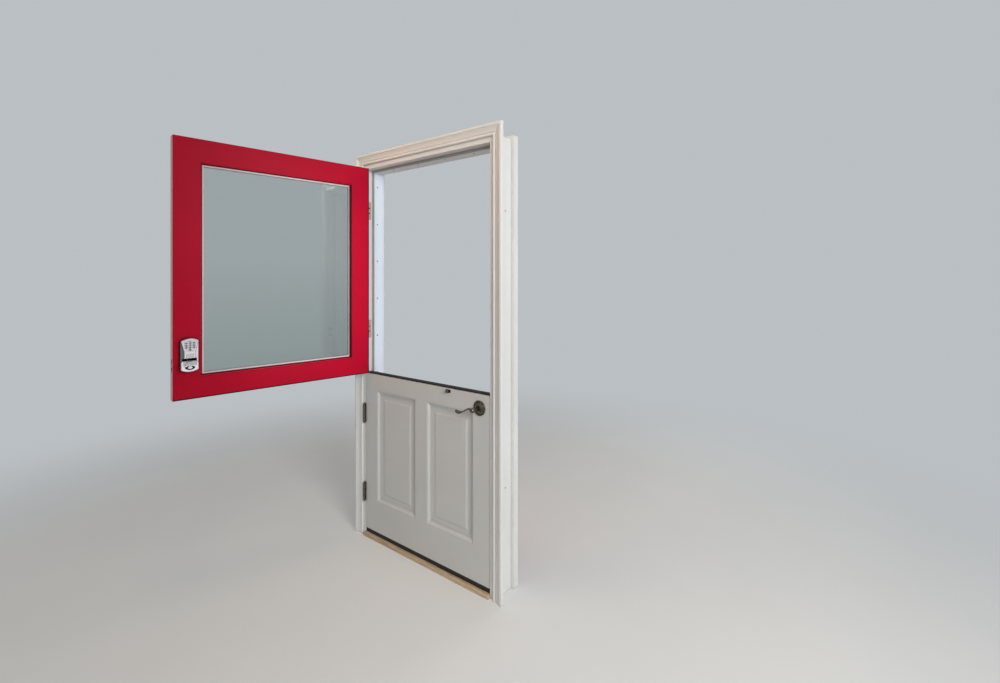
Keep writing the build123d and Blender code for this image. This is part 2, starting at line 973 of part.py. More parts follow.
# Bottom sweep: a carrier under the lower leaf with three fins down to the threshold
with BuildPart() as bottom_sweep:
    with BuildSketch(Plane.YZ):
        sweep_far = leaf_thickness - sweep_setback
        sweep_low = sill_thickness + seal_clearance
        span(sweep_setback, lower_base - sweep_plate, sweep_far, lower_base)
        for start in (sweep_setback, mid_thickness - sweep_fin / 2, sweep_far - sweep_fin):
            span(start, sweep_low, start + sweep_fin, lower_base)
        fillet(vertices().group_by(Axis.Y)[0], sweep_fin / 2 - 0.1)
    extrude(amount=lock_edge - sweep_inset, both=True)


def bolt_case(mid, bolt_width, bolt_height):
    """A bolt's faceplate with the sleeve behind it that the bolt slides in."""
    inner_width = bolt_width + 2 * bolt_clearance
    inner_height = bolt_height + 2 * bolt_clearance
    with BuildPart() as case:
        face = Plane(origin=(lock_edge, mid_thickness, mid), x_dir=(0, 1, 0), z_dir=(1, 0, 0))
        with BuildSketch(face.offset(-faceplate_thickness)):
            RectangleRounded(faceplate_width, faceplate_height, fit_gap)
        extrude(amount=faceplate_thickness)
        with BuildSketch(face.offset(-case_length)):
            Rectangle(inner_width + 2 * case_wall, inner_height + 2 * case_wall)
        extrude(amount=case_length)
        with BuildSketch(face.offset(over)):
            Rectangle(inner_width, inner_height)
        extrude(amount=-case_length - 2 * over, mode=Mode.SUBTRACT)
        with Locations(*plate_seats((mid,), lock_edge, 1)):
            screw_seat(faceplate_thickness)
    return case


latch_case = bolt_case(lever_z, latch_width, latch_height)

# Latch bolt, drawn in: its nose slopes on the side that meets the strike first
with BuildPart() as latch_bolt:
    nose_x = lock_edge - bolt_setback
    with BuildSketch(Plane.XY.offset(lever_z - latch_height / 2)):
        with BuildLine():
            Polyline(
                (nose_x - latch_length, mid_thickness - latch_width / 2),
                (nose_x, mid_thickness - latch_width / 2),
                (nose_x, mid_thickness - latch_width / 2 + latch_nose),
                (nose_x - latch_throw, mid_thickness + latch_width / 2),
                (nose_x - latch_length, mid_thickness + latch_width / 2),
                close=True,
            )
        make_face()
    extrude(amount=latch_height)


def rose(plane):
    """A turned rose with a stepped dome and a collar round the lever's shank."""
    with BuildPart() as turned:
        with BuildSketch(plane):
            with BuildLine():
                bore = shank_radius + running_gap
                Polyline((bore, 0), (rose_radius, 0), (rose_radius, rose_rim))
                ThreePointArc(
                    (rose_radius, rose_rim),
                    (rose_radius - 2.5, rose_shoulder),
                    (rose_radius - 5, rose_groove),
                )
                Line((rose_radius - 5, rose_groove), (rose_shoulder_radius, rose_groove))
                ThreePointArc(
                    (rose_shoulder_radius, rose_groove),
                    (rose_shoulder_radius - 2.5, rose_shoulder),
                    (rose_shoulder_radius - 6, rose_shoulder + 0.8),
                )
                ThreePointArc(
                    (rose_shoulder_radius - 6, rose_shoulder + 0.8),
                    (18, rose_collar_base - 1.8),
                    (rose_collar_radius, rose_collar_base),
                )
                Polyline(
                    (rose_collar_radius, rose_collar_base),
                    (rose_collar_radius - 1, rose_height),
                    (bore, rose_height),
                    (bore, 0),
                )
            make_face()
        revolve(axis=Axis(plane.origin, plane.y_dir))
    return turned


def turning_plane(face_y, outward, z):
    """A plane through a lock's axis: its own y points away from the leaf's face."""
    return Plane(origin=(lock_axis_x, face_y, z), x_dir=(1, 0, 0), z_dir=(0, 0, outward))


lever_roses = grouped(
    [
        rose(turning_plane(0, -1, lever_z)),
        rose(turning_plane(leaf_thickness, 1, lever_z)),
    ]
)


def lever(plane, outward):
    """A wave lever: a turned shank and hub, and an arm lofted through its stations."""
    origin_y = plane.origin.Y
    with BuildPart() as handle:
        with BuildSketch(plane):
            with BuildLine():
                Polyline((0, running_gap), (shank_radius, running_gap), (shank_radius, hub_base - 6))
                ThreePointArc(
                    (shank_radius, hub_base - 6),
                    (shank_radius + 0.8, hub_base - 2),
                    (hub_radius, hub_base),
                )
                Line((hub_radius, hub_base), (hub_radius, hub_height - 5))
                ThreePointArc(
                    (hub_radius, hub_height - 5),
                    (hub_radius - 3, hub_height - 1.3),
                    (0, hub_height),
                )
                Line((0, hub_height), (0, running_gap))
            make_face()
        revolve(axis=Axis(plane.origin, plane.y_dir))
        count = len(lever_stations)
        for i, (along, up, tall, deep) in enumerate(lever_stations):
            before = lever_stations[max(i - 1, 0)]
            after = lever_stations[min(i + 1, count - 1)]
            run, rise = after[0] - before[0], after[1] - before[1]
            length = hypot(run, rise)
            station = Plane(
                origin=(lock_axis_x + along, origin_y + outward * lever_plane, lever_z + up),
                x_dir=(0, 1, 0),
                z_dir=(run / length, 0, rise / length),
            )
            with BuildSketch(station):
                Ellipse(deep / 2, tall / 2)
        loft()
        socket = Location((lock_axis_x, origin_y + outward * spindle_socket / 2, lever_z))
        with Locations(socket):
            Box(
                spindle_width + 2 * pin_clearance,
                spindle_socket,
                spindle_width + 2 * pin_clearance,
                mode=Mode.SUBTRACT,
            )
    return handle


inside_lever = lever(turning_plane(0, -1, lever_z), -1)
outside_lever = lever(turning_plane(leaf_thickness, 1, lever_z), 1)
with BuildPart() as lever_spindle:
    with Locations((lock_axis_x, mid_thickness, lever_z)):
        Box(
            spindle_width,
            leaf_thickness + 2 * spindle_socket - 2 * running_gap,
            spindle_width,
        )


def rod_saddle(width, bore):
    """Plan of a saddle over the surface bolt's rod, with a foot on each side."""
    span(-width / 2, 0, width / 2, slide_plate_thickness)
    with BuildLine() as outline:
        Line((-guide_half, 0), (guide_half, 0))
        Line((guide_half, 0), (guide_half, rod_offset - 2))
        ThreePointArc(
            (guide_half, rod_offset - 2),
            (0, rod_offset + guide_half - 2),
            (-guide_half, rod_offset - 2),
        )
        Line((-guide_half, rod_offset - 2), (-guide_half, 0))
    make_face(outline.edges())
    with Locations((0, rod_offset)):
        Circle(bore, mode=Mode.SUBTRACT)



def saddle_plane(z):
    """A level plane at the surface bolt, with its own y into the room."""
    return Plane(origin=(slide_x, 0, z), x_dir=(-1, 0, 0), z_dir=(0, 0, 1))


with BuildPart() as bolt_keeper:
    with BuildSketch(saddle_plane(keeper_base)):
        rod_saddle(keeper_width, keeper_bore)
    extrude(amount=keeper_tall)
    with Locations(*keeper_seats):
        Cylinder(screw_shank_radius, 3 * slide_plate_thickness, mode=Mode.SUBTRACT)

with BuildPart() as lower_leaf_screws:
    with Locations(*hinge_seats(lower_hinge_mids, hinge_edge, -1)):
        screw(hinge_plate)
    with Locations(*plate_seats((lever_z,), lock_edge, 1)):
        screw(faceplate_thickness)
    with Locations(*keeper_seats):
        Cylinder(
            screw_shank_radius,
            screw_length / 2,
            align=(Align.CENTER, Align.CENTER, Align.MAX),
        )
        Cylinder(
            screw_shank_radius + 1,
            dome_height,
            align=(Align.CENTER, Align.CENTER, Align.MIN),
        )


def ovolo_waste(flat, sense, face, inward):
    """Cuts the glazing moulding along one arris: a step and a quarter round."""

    def at(out, depth):
        return (flat + sense * out, face + inward * depth)

    with BuildLine() as outline:
        Line(at(0, -over), at(0, moulding_step))
        ThreePointArc(
            at(0, moulding_step),
            at(0.68 * glazing_width, 0.42 * glazing_depth),
            at(0.9 * glazing_width, glazing_depth),
        )
        Line(at(0.9 * glazing_width, glazing_depth), at(glazing_width + over, glazing_depth))
        Line(at(glazing_width + over, glazing_depth), at(glazing_width + over, -over))
        Line(at(glazing_width + over, -over), at(0, -over))
    make_face(outline.edges(), mode=Mode.SUBTRACT)



def glazed_bar(plane, low, high, length, sense):
    """A stile or rail of the upper leaf: moulded outside, rebated inside for the glass."""
    flat = high if sense > 0 else low
    with BuildPart() as bar:
        with BuildSketch(plane):
            span(low, 0, high, leaf_thickness)
            span(flat, 0, flat + sense * glazing_width, leaf_thickness)
            ovolo_waste(flat, sense, leaf_thickness, -1)
            span(
                flat - sense * bead_back,
                -over,
                flat + sense * (glazing_width + over),
                unit_outer_face + fit_gap,
                mode=Mode.SUBTRACT,
            )
        extrude(amount=length)
    return bar


upper_plane = Plane.XY.offset(upper_base)
upper_hinge_blank = glazed_bar(upper_plane, hinge_edge, flat_left, upper_height, 1)
upper_hinge_stile = let_in_hinges(upper_hinge_blank, upper_hinge_mids)
upper_lock_blank = glazed_bar(upper_plane, flat_right, lock_edge, upper_height, -1)
upper_lock_stile = bored_for_lock(
    upper_lock_blank, turn_z, deadbolt_width, deadbolt_height, deadbolt_length
)
upper_stiles = (upper_hinge_blank, upper_lock_blank)
upper_rail_length = rail_length + 2 * bead_back
glass_low = upper_base + upper_bottom_rail_width
glass_high = upper_top - upper_top_rail_width
upper_bottom_rail = coped(
    glazed_bar(along_x(flat_right + bead_back), upper_base, glass_low, upper_rail_length, 1),
    upper_stiles,
)
upper_top_rail = coped(
    glazed_bar(along_x(flat_right + bead_back), glass_high, upper_top, upper_rail_length, -1),
    upper_stiles,
)


def bead_section(flat, sense):
    """A glazing bead: the outer moulding's twin, held in the rebate against the glass."""
    span(
        flat - sense * bead_back,
        0,
        flat + sense * glazing_width,
        unit_inner_face - fit_gap,
    )
    ovolo_waste(flat, sense, 0, 1)


def bead(plane, flat, sense, length, corners):
    """One stick of glazing bead, mitred at both ends."""
    with BuildPart() as stick:
        with BuildSketch(plane):
            bead_section(flat, sense)
        extrude(amount=length)
        for corner, direction in corners:
            cut = Plane(origin=corner, z_dir=direction).offset(-bead_mitre_gap / 2)
            split(bisect_by=cut, keep=Keep.BOTTOM)
    return stick


bead_corners = {
    "low_left": (flat_left, 0, glass_low),
    "low_right": (flat_right, 0, glass_low),
    "high_left": (flat_left, 0, glass_high),
    "high_right": (flat_right, 0, glass_high),
}
bead_upright = Plane.XY.offset(glass_low - bead_back)
bead_height = glass_high - glass_low + 2 * bead_back
glazing_beads = grouped(
    [
        bead(
            bead_upright,
            flat_left,
            1,
            bead_height,
            [(bead_corners["low_left"], (1, 0, -1)), (bead_corners["high_left"], (1, 0, 1))],
        ),
        bead(
            bead_upright,
            flat_right,
            -1,
            bead_height,
            [(bead_corners["low_right"], (-1, 0, -1)), (bead_corners["high_right"], (-1, 0, 1))],
        ),
        bead(
            along_x(flat_right + bead_back),
            glass_low,
            1,
            upper_rail_length,
            [(bead_corners["low_left"], (-1, 0, 1)), (bead_corners["low_right"], (1, 0, 1))],
        ),
        bead(
            along_x(flat_right + bead_back),
            glass_high,
            -1,
            upper_rail_length,
            [(bead_corners["high_left"], (-1, 0, -1)), (bead_corners["high_right"], (1, 0, -1))],
        ),
    ]
)

# The sealed glass unit: two panes on a spacer frame
pane_inset = pane_edge_gap - bead_back
pane_left, pane_right = flat_left + pane_inset, flat_right - pane_inset
pane_low, pane_high = glass_low + pane_inset, glass_high - pane_inset


def pane(inner_y):
    """One pane, from its face nearer the room."""
    with BuildPart() as sheet:
        block(pane_left, pane_right, inner_y, inner_y + pane_thickness, pane_low, pane_high)
    return sheet


glass_panes = grouped([pane(unit_inner_face), pane(unit_outer_face - pane_thickness)])
with BuildPart() as glass_spacer:
    inset = glazing_width + spacer_show
    with BuildSketch(Plane.XZ.offset(-unit_inner_face - pane_thickness)):
        for edge, mode in ((inset - spacer_width, Mode.ADD), (inset, Mode.SUBTRACT)):
            span(
                flat_left + edge,
                glass_low + edge,
                flat_right - edge,
                glass_high - edge,
                mode=mode,
            )
    extrude(amount=-spacer_thickness)

deadbolt_case = bolt_case(turn_z, deadbolt_width, deadbolt_height)
with BuildPart() as deadbolt:
    bolt_nose = lock_edge - bolt_setback
    block(
        bolt_nose - deadbolt_length,
        bolt_nose,
        mid_thickness - deadbolt_width / 2,
        mid_thickness + deadbolt_width / 2,
        turn_z - deadbolt_height / 2,
        turn_z + deadbolt_height / 2,
    )
    chamfer(faces().sort_by(Axis.X)[-1].edges(), 1)


def pad_outline():
    """The keypad's shield: an arched top on sides that draw in to a waist."""
    wide = pad_wide - pad_inset
    with BuildLine() as outline:
        ThreePointArc((-wide, pad_corner), (0, pad_top - pad_inset), (wide, pad_corner))
        Line((wide, pad_corner), (pad_narrow, pad_waist))
        Line((pad_narrow, pad_waist), (pad_narrow, pad_bottom))
        Line((pad_narrow, pad_bottom), (-pad_narrow, pad_bottom))
        Line((-pad_narrow, pad_bottom), (-pad_narrow, pad_waist))
        Line((-pad_narrow, pad_waist), (-wide, pad_corner))
    make_face(outline.edges())


def base_outline():
    """The lock's base: straight sides between an arched top and a rounded foot."""
    with BuildLine() as outline:
        ThreePointArc((-pad_wide, pad_corner), (0, pad_top), (pad_wide, pad_corner))
        Line((pad_wide, pad_corner), (pad_wide, guard_low_corner))
        ThreePointArc(
            (pad_wide, guard_low_corner), (0, guard_bottom), (-pad_wide, guard_low_corner)
        )
        Line((-pad_wide, guard_low_corner), (-pad_wide, pad_corner))
    make_face(outline.edges())


def guard_outline():
    """The cylinder's guard on the base: square shoulders and the base's rounded foot."""
    guard_top = pad_bottom - pad_gap
    wide = pad_wide - pad_inset
    foot = guard_bottom + pad_inset
    with BuildLine() as outline:
        Line((-guard_shoulder_half, guard_top), (guard_shoulder_half, guard_top))
        Line((guard_shoulder_half, guard_top), (wide, guard_shoulder))
        Line((wide, guard_shoulder), (wide, guard_low_corner))
        ThreePointArc((wide, guard_low_corner), (0, foot), (-wide, guard_low_corner))
        Line((-wide, guard_low_corner), (-wide, guard_shoulder))
        Line((-wide, guard_shoulder), (-guard_shoulder_half, guard_top))
    make_face(outline.edges())


key_places = [
    (column * key_column, key_first_row - row * key_row) for row in range(3) for column in (-1, 0, 1)
]
key_places.append((0, key_first_row - 3 * key_row))
key_names = ["key_%d" % number for number in (1, 2, 3, 4, 5, 6, 7, 8, 9, 0)]

with BuildPart() as keypad_housing:
    pad_plane = outer_face(lock_axis_x, turn_z)
    with BuildSketch(pad_plane):
        base_outline()
    extrude(amount=pad_base)
    chamfer(faces().sort_by(Axis.Y)[-1].edges(), pad_inset)
    with BuildSketch(pad_plane.offset(pad_base - over)):
        pad_outline()
        guard_outline()
    extrude(amount=pad_thickness - pad_base + over)
    chamfer(faces().group_by(Axis.Y)[-1].edges(), pad_round)
    with BuildSketch(pad_plane.offset(pad_base + over)):
        with Locations((0, pad_bottom - pad_gap / 2)):
            RectangleRounded(2 * slot_half, slot_height, slot_height / 2 - fit_gap)
    extrude(amount=-slot_depth - over, mode=Mode.SUBTRACT)
    with BuildSketch(pad_plane.offset(pad_thickness)):
        Circle(cylinder_radius)
    extrude(amount=cylinder_proud, taper=20)
    with BuildSketch(pad_plane.offset(pad_thickness + cylinder_proud)):
        Circle(plug_radius + plug_clearance)
    extrude(amount=-plug_length - plug_proud, mode=Mode.SUBTRACT)
    with BuildSketch(pad_plane.offset(pad_thickness)):
        with Locations(*key_places):
            RectangleRounded(
                key_width + 2 * key_clearance, key_height + 2 * key_clearance, key_round
            )
        with Locations((0, wake_height)):
            Ellipse(wake_width / 2 + key_clearance, wake_tall / 2 + key_clearance)
    extrude(amount=-key_well, mode=Mode.SUBTRACT)
    with BuildSketch(pad_plane):
        Circle(bore_radius)
    extrude(amount=pad_base / 2, mode=Mode.SUBTRACT)


def key(place):
    """One key, free to sink by its travel."""
    with BuildPart() as button:
        floor = pad_thickness - key_well + key_travel + running_gap
        with BuildSketch(pad_plane.offset(floor)):
            with Locations(place):
                RectangleRounded(key_width, key_height, key_round - key_clearance)
        extrude(amount=key_well - key_travel - running_gap + key_proud)
        chamfer(faces().sort_by(Axis.Y)[-1].edges(), 0.6)
    return button


keys = {name: key(place) for name, place in zip(key_names, key_places)}
with BuildPart() as wake_button:
    with BuildSketch(pad_plane.offset(pad_thickness - key_well + key_travel + running_gap)):
        with Locations((0, wake_height)):
            Ellipse(wake_width / 2, wake_tall / 2)
    extrude(amount=key_well - key_travel - running_gap + key_proud)

with BuildPart() as key_plug:
    plug_top = pad_thickness + cylinder_proud + plug_proud
    with BuildSketch(pad_plane.offset(plug_top - plug_length)):
        Circle(plug_radius)
    extrude(amount=plug_length)
    with BuildSketch(pad_plane.offset(plug_top)):
        Rectangle(keyway_width, keyway_height)
    extrude(amount=-keyway_depth, mode=Mode.SUBTRACT)

with BuildPart() as turn_housing:
    house_plane = inner_face(lock_axis_x, turn_z)
    house_middle = (turn_house_low + turn_house_high) / 2
    with BuildSketch(house_plane):
        with Locations((0, house_middle)):
            RectangleRounded(
                turn_house_width, turn_house_high - turn_house_low, turn_house_round
            )
    extrude(amount=turn_house_thickness)
    fillet(faces().sort_by(Axis.Y)[0].edges(), turn_house_edge)
    with BuildSketch(house_plane):
        Circle(turn_shaft_radius + running_gap)
    extrude(amount=turn_house_thickness, mode=Mode.SUBTRACT)

with BuildPart() as thumb_turn:
    with BuildSketch(house_plane.offset(running_gap)):
        Circle(turn_shaft_radius)
    extrude(amount=turn_house_thickness)
    with BuildSketch(house_plane.offset(turn_house_thickness + running_gap)):
        Circle(turn_disc_radius)
    extrude(amount=turn_disc_thickness)
    with BuildSketch(house_plane.offset(turn_house_thickness + running_gap)):
        SlotOverall(turn_grip_length, turn_grip_width, rotation=90)
    extrude(amount=turn_disc_thickness + turn_grip_height)
    fillet(faces().sort_by(Axis.Y)[0].edges(), turn_grip_round)
    with BuildSketch(house_plane.offset(running_gap)):
        Rectangle(blade_thickness + 2 * pin_clearance, blade_width + 2 * pin_clearance)
    extrude(amount=turn_house_thickness / 2, mode=Mode.SUBTRACT)

# The flat bar from the thumb turn to the back of the keypad lock
with BuildPart() as turn_blade:
    with BuildSketch(house_plane.offset(turn_house_thickness / 2)):
        Rectangle(blade_thickness, blade_width)
    extrude(amount=-turn_house_thickness / 2 - leaf_thickness - pad_base / 2 + running_gap)

with BuildPart() as slide_plate:
    with BuildSketch(inner_face(slide_x, upper_base + (slide_plate_low + slide_plate_high) / 2)):
        RectangleRounded(
            slide_plate_width, slide_plate_high - slide_plate_low, slide_plate_round
        )
    extrude(amount=slide_plate_thickness)
    for height in (guide_low, guide_high):
        with BuildSketch(saddle_plane(upper_base + height)):
            rod_saddle(2 * guide_half, rod_radius + rod_clearance)
        extrude(amount=guide_height)

with BuildPart() as surface_bolt:
    with BuildSketch(saddle_plane(upper_base + rod_low)):
        with Locations((0, rod_offset)):
            Circle(rod_radius)
    extrude(amount=rod_high - rod_low)
    chamfer(edges().group_by(Axis.Z)[0], 1.2)
    with BuildSketch(inner_face(slide_x, upper_base + knob_height, rod_offset)):
        Circle(knob_radius * 0.6)
    extrude(amount=knob_length)
    with BuildSketch(inner_face(slide_x, upper_base + knob_height, rod_offset + knob_length / 2)):
        Circle(knob_radius)
    extrude(amount=knob_length / 2)

with BuildPart() as upper_leaf_screws:
    with Locations(*hinge_seats(upper_hinge_mids, hinge_edge, -1)):
        screw(hinge_plate)
    with Locations(*plate_seats((turn_z,), lock_edge, 1)):
        screw(faceplate_thickness)

fixed_pieces = {
    "threshold": threshold,
    "head_jamb": head_jamb,
    "hinge_jamb": hinge_jamb,
    "strike_jamb": strike_jamb,
    "casing_left": casing_left,
    "casing_right": casing_right,
    "casing_head": casing_head,
    "outer_trim": outer_trim,
    "weatherstrips": weatherstrips,
    "strike_plates": strike_plates,
    "hinge_jamb_leaves": hinge_jamb_leaves,
    "hinge_pins": hinge_pins,
    "frame_screws": frame_screws,
    "lower_hinge_stile": lower_hinge_stile,
    "lower_lock_stile": lower_lock_stile,
    "lower_bottom_rail": lower_bottom_rail,
    "lower_top_rail": lower_top_rail,
    "lower_middle_bar": lower_middle_bar,
    "lower_panel_left": lower_panel_left,
    "lower_panel_right": lower_panel_right,
    "meeting_seal": meeting_seal,
    "bottom_sweep": bottom_sweep,
    "lower_hinge_leaves": lower_hinge_leaves,
    "latch_case": latch_case,
    "latch_bolt": latch_bolt,
    "lever_roses": lever_roses,
    "inside_lever": inside_lever,
    "outside_lever": outside_lever,
    "lever_spindle": lever_spindle,
    "bolt_keeper": bolt_keeper,
    "lower_leaf_screws": lower_leaf_screws,
}
upper_pieces = {
    "upper_hinge_stile": upper_hinge_stile,
    "upper_lock_stile": upper_lock_stile,
    "upper_bottom_rail": upper_bottom_rail,
    "upper_top_rail": upper_top_rail,
    "glazing_beads": glazing_beads,
    "glass_panes": glass_panes,
    "glass_spacer": glass_spacer,
    "upper_hinge_leaves": upper_hinge_leaves,
    "deadbolt_case": deadbolt_case,
    "deadbolt": deadbolt,
    "keypad_housing": keypad_housing,
    "wake_button": wake_button,
    "key_plug": key_plug,
    "turn_housing": turn_housing,
    "thumb_turn": thumb_turn,
    "turn_blade": turn_blade,
    "slide_plate": slide_plate,
    "surface_bolt": surface_bolt,
    "upper_leaf_screws": upper_leaf_screws,
}
upper_pieces.update(keys)

# The upper leaf stands open: everything on it turns about the hinge pins
swing = Pos(pin_x, pin_y, 0) * Rot(0, 0, -open_angle) * Pos(-pin_x, -pin_y, 0)
for piece in upper_pieces.values():
    piece.part.move(swing)

for name, piece in {**fixed_pieces, **upper_pieces}.items():
    piece.part.label = name
    export_step(piece.part, "parts/%s.step" % name)
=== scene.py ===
import bmesh
import bpy
import json
import math
from mathutils import Matrix, Vector


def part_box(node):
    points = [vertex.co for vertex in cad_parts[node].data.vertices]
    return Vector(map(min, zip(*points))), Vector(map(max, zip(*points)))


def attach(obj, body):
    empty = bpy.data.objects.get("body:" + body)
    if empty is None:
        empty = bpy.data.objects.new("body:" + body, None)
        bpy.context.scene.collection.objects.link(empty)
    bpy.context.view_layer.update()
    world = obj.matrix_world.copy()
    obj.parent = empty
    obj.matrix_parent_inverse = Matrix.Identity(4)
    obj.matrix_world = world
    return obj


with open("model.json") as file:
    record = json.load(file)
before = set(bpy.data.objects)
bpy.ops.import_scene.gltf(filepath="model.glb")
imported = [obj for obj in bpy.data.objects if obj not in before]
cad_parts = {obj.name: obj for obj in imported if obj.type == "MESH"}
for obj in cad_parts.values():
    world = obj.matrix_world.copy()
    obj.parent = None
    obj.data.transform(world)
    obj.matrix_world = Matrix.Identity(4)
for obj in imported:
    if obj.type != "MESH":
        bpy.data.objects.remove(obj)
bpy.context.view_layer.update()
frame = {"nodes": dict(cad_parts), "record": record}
nodes = frame["nodes"]
bodies = frame["record"]["behaviour"]["bodies"]
slots = {part["node"]: part["material_slot"] for part in frame["record"]["subparts"]}

# Sizes repeated from the part's source, in metres
LEAF_THICKNESS = 0.0445
LEAF_HALF = 0.457
HINGE_GAP = 0.0015
PIN_PROUD = 0.008
OPEN_DEGREES = 98.56
LOWER_BASE = 0.0425
LOWER_TOP = 0.9175
UPPER_BASE = 0.9275
UPPER_TOP = 2.0745
SIGHT_HALF = 0.346
SIGHT_LOW = 1.0315
SIGHT_HIGH = 1.9635
GLASS_ROOM_FACE = 0.01225
GLASS_OUTER_FACE = 0.03225
LOCK_X = 0.397
TURN_Z = 1.0785
PAD_PROUD = 0.022
PAD_BASE = 0.010
KEY_PROUD = 0.0013
SLOT_HALF = 0.0275
SLOT_LOW = 0.0199
SLOT_HIGH = 0.0301

# Widths of the lines that are only painted on, in metres
EDGE_BAND = 0.0012
# Dark band round the glass: part bead joint, part painted shadow of a deeper reveal
BEAD_JOINT_AND_SHADOW = 0.0045
# Its reach on the hinge side, where the extra width is painted shadow
HINGE_SIDE_JOINT_AND_SHADOW = 0.0105
# Painted shade along the upper leaf's hinge edge
HINGE_EDGE_SHADE = 0.006
# A dark line along each leaf's bottom edge
BOTTOM_DARK_LINE = 0.005

# Keypad zones, in metres from the lock's axis and along its height
FACE_SLACK = 0.0005
PLATE_SLACK = 0.0004
SLOT_DEPTH = 0.001
KEYS_BAND = (0.057, 0.110)
TAPER_HEIGHTS = (0.058, 0.107)
TAPER_HALVES = (0.0155, 0.0275)
BLANK_TOP = 0.052
HOOD_HALF = 0.026
HOOD_BASE = 0.001
RING_DROP = 0.009
RING_FLATTEN = 2.1
RING_RADII = (0.0085, 0.0185)

# Numerals and glazing seal, in metres
NUMERAL_SIZE = 0.0085
NUMERAL_WEIGHT = 0.0004
NUMERAL_RELIEF = 0.00008
SEAL_SECTION = (
    (0.0001, 0.0),
    (0.0001, 0.0018),
    (0.0012, 0.0022),
    (0.0068, 0.0007),
    (0.0070, 0.0),
)
HINGE_SIDE_SHARE = 0.35

# Ranges for remapping: all of it, and the part that a noise mostly fills
FULL = (0.0, 1.0)
NOISE_RANGE = (0.3, 0.7)

# Directions of the shut lower leaf and of the upper leaf as it stands open
OPEN_ANGLE = math.radians(OPEN_DEGREES)
PIN = Vector((-LEAF_HALF - HINGE_GAP, -PIN_PROUD, 0.0))
UP = Vector((0.0, 0.0, 1.0))
OUT_SHUT = Vector((0.0, 1.0, 0.0))
ALONG_SHUT = Vector((1.0, 0.0, 0.0))
OUT_OPEN = Vector((math.sin(OPEN_ANGLE), math.cos(OPEN_ANGLE), 0.0))
ALONG_OPEN = Vector((math.cos(OPEN_ANGLE), -math.sin(OPEN_ANGLE), 0.0))


def swung(x, y, z=0.0):
    """A point of the upper leaf, given as if shut, where the open leaf has it."""
    c, s = math.cos(OPEN_ANGLE), math.sin(OPEN_ANGLE)
    dx, dy = x - PIN.x, y - PIN.y
    return Vector((PIN.x + c * dx + s * dy, PIN.y - s * dx + c * dy, z))


def srgb(r, g, b):
    """A colour given as it looks on screen, for the shader."""
    return tuple(
        v / 12.92 if v <= 0.04045 else ((v + 0.055) / 1.055) ** 2.4 for v in (r, g, b)
    )


def scaled(colour, factor):
    """The same colour, darker or lighter."""
    return [v * factor for v in colour]


# Colours of the paint
WHITE = (1.0, 1.0, 1.0)
GREIGE = srgb(0.842, 0.842, 0.830)
TRIM_WHITE = srgb(0.925, 0.922, 0.912)
# White of the glazed leaf's free edge, tinted pink and brightened as painted reflected light
EDGE_WHITE_PINK_BOUNCE = srgb(1.0, 0.76, 0.71)
RED = srgb(0.800, 0.030, 0.180)
# Painted shade in the corners and recesses of the red paint
RECESS_SHADE_RED = srgb(0.26, 0.0, 0.05)
# Dark band round the glass: part bead joint, part painted shadow
JOINT_AND_SHADOW_RED = srgb(0.34, 0.0, 0.06)
# Painted shade along the hinge edge
HINGE_EDGE_SHADE_RED = srgb(0.34, 0.02, 0.08)
# Dark line along each leaf's bottom edge
BOTTOM_LINE_RED = srgb(0.20, 0.02, 0.04)
# Pale colour of the upper hinges: painted reflection of daylight
HINGE_DAYLIGHT_REFLECTION = srgb(0.78, 0.70, 0.67)

# Colours of the keypad's zones
# The plate's left side is darker as painted shade, its right side paler as painted reflection of
# daylight
PLATE_PAINTED_SHADE = srgb(0.45, 0.44, 0.45)
PLATE_PAINTED_REFLECTION = srgb(0.93, 0.86, 0.88)
KEYS_GREY = srgb(0.84, 0.84, 0.85)
BLANK_GREY = srgb(0.80, 0.79, 0.80)
HOOD_GREY = srgb(0.74, 0.74, 0.75)
# Painted shadow in a ring round the key plug
RING_SHADOW_BLACK = srgb(0.14, 0.14, 0.15)
# Painted shade in the recessed slot
SLOT_SHADE_BLACK = srgb(0.07, 0.07, 0.07)

# Colours of the timber, the glass and the surroundings
TIMBER_DARK = srgb(0.77, 0.67, 0.55)
TIMBER_PALE = srgb(0.84, 0.75, 0.63)
TIMBER_PORE = srgb(0.52, 0.41, 0.30)
GLASS_LOW = (0.70, 0.745, 0.73)
GLASS_HIGH = (0.80, 0.83, 0.82)
GLASS_SHADOW = (0.90, 0.93, 0.92)
FLOOR_DARK = srgb(0.84, 0.84, 0.83)
FLOOR_PALE = srgb(0.87, 0.87, 0.86)
BACKDROP = srgb(0.73, 0.75, 0.765)
SKY_WHITE = (0.97, 0.98, 1.0)


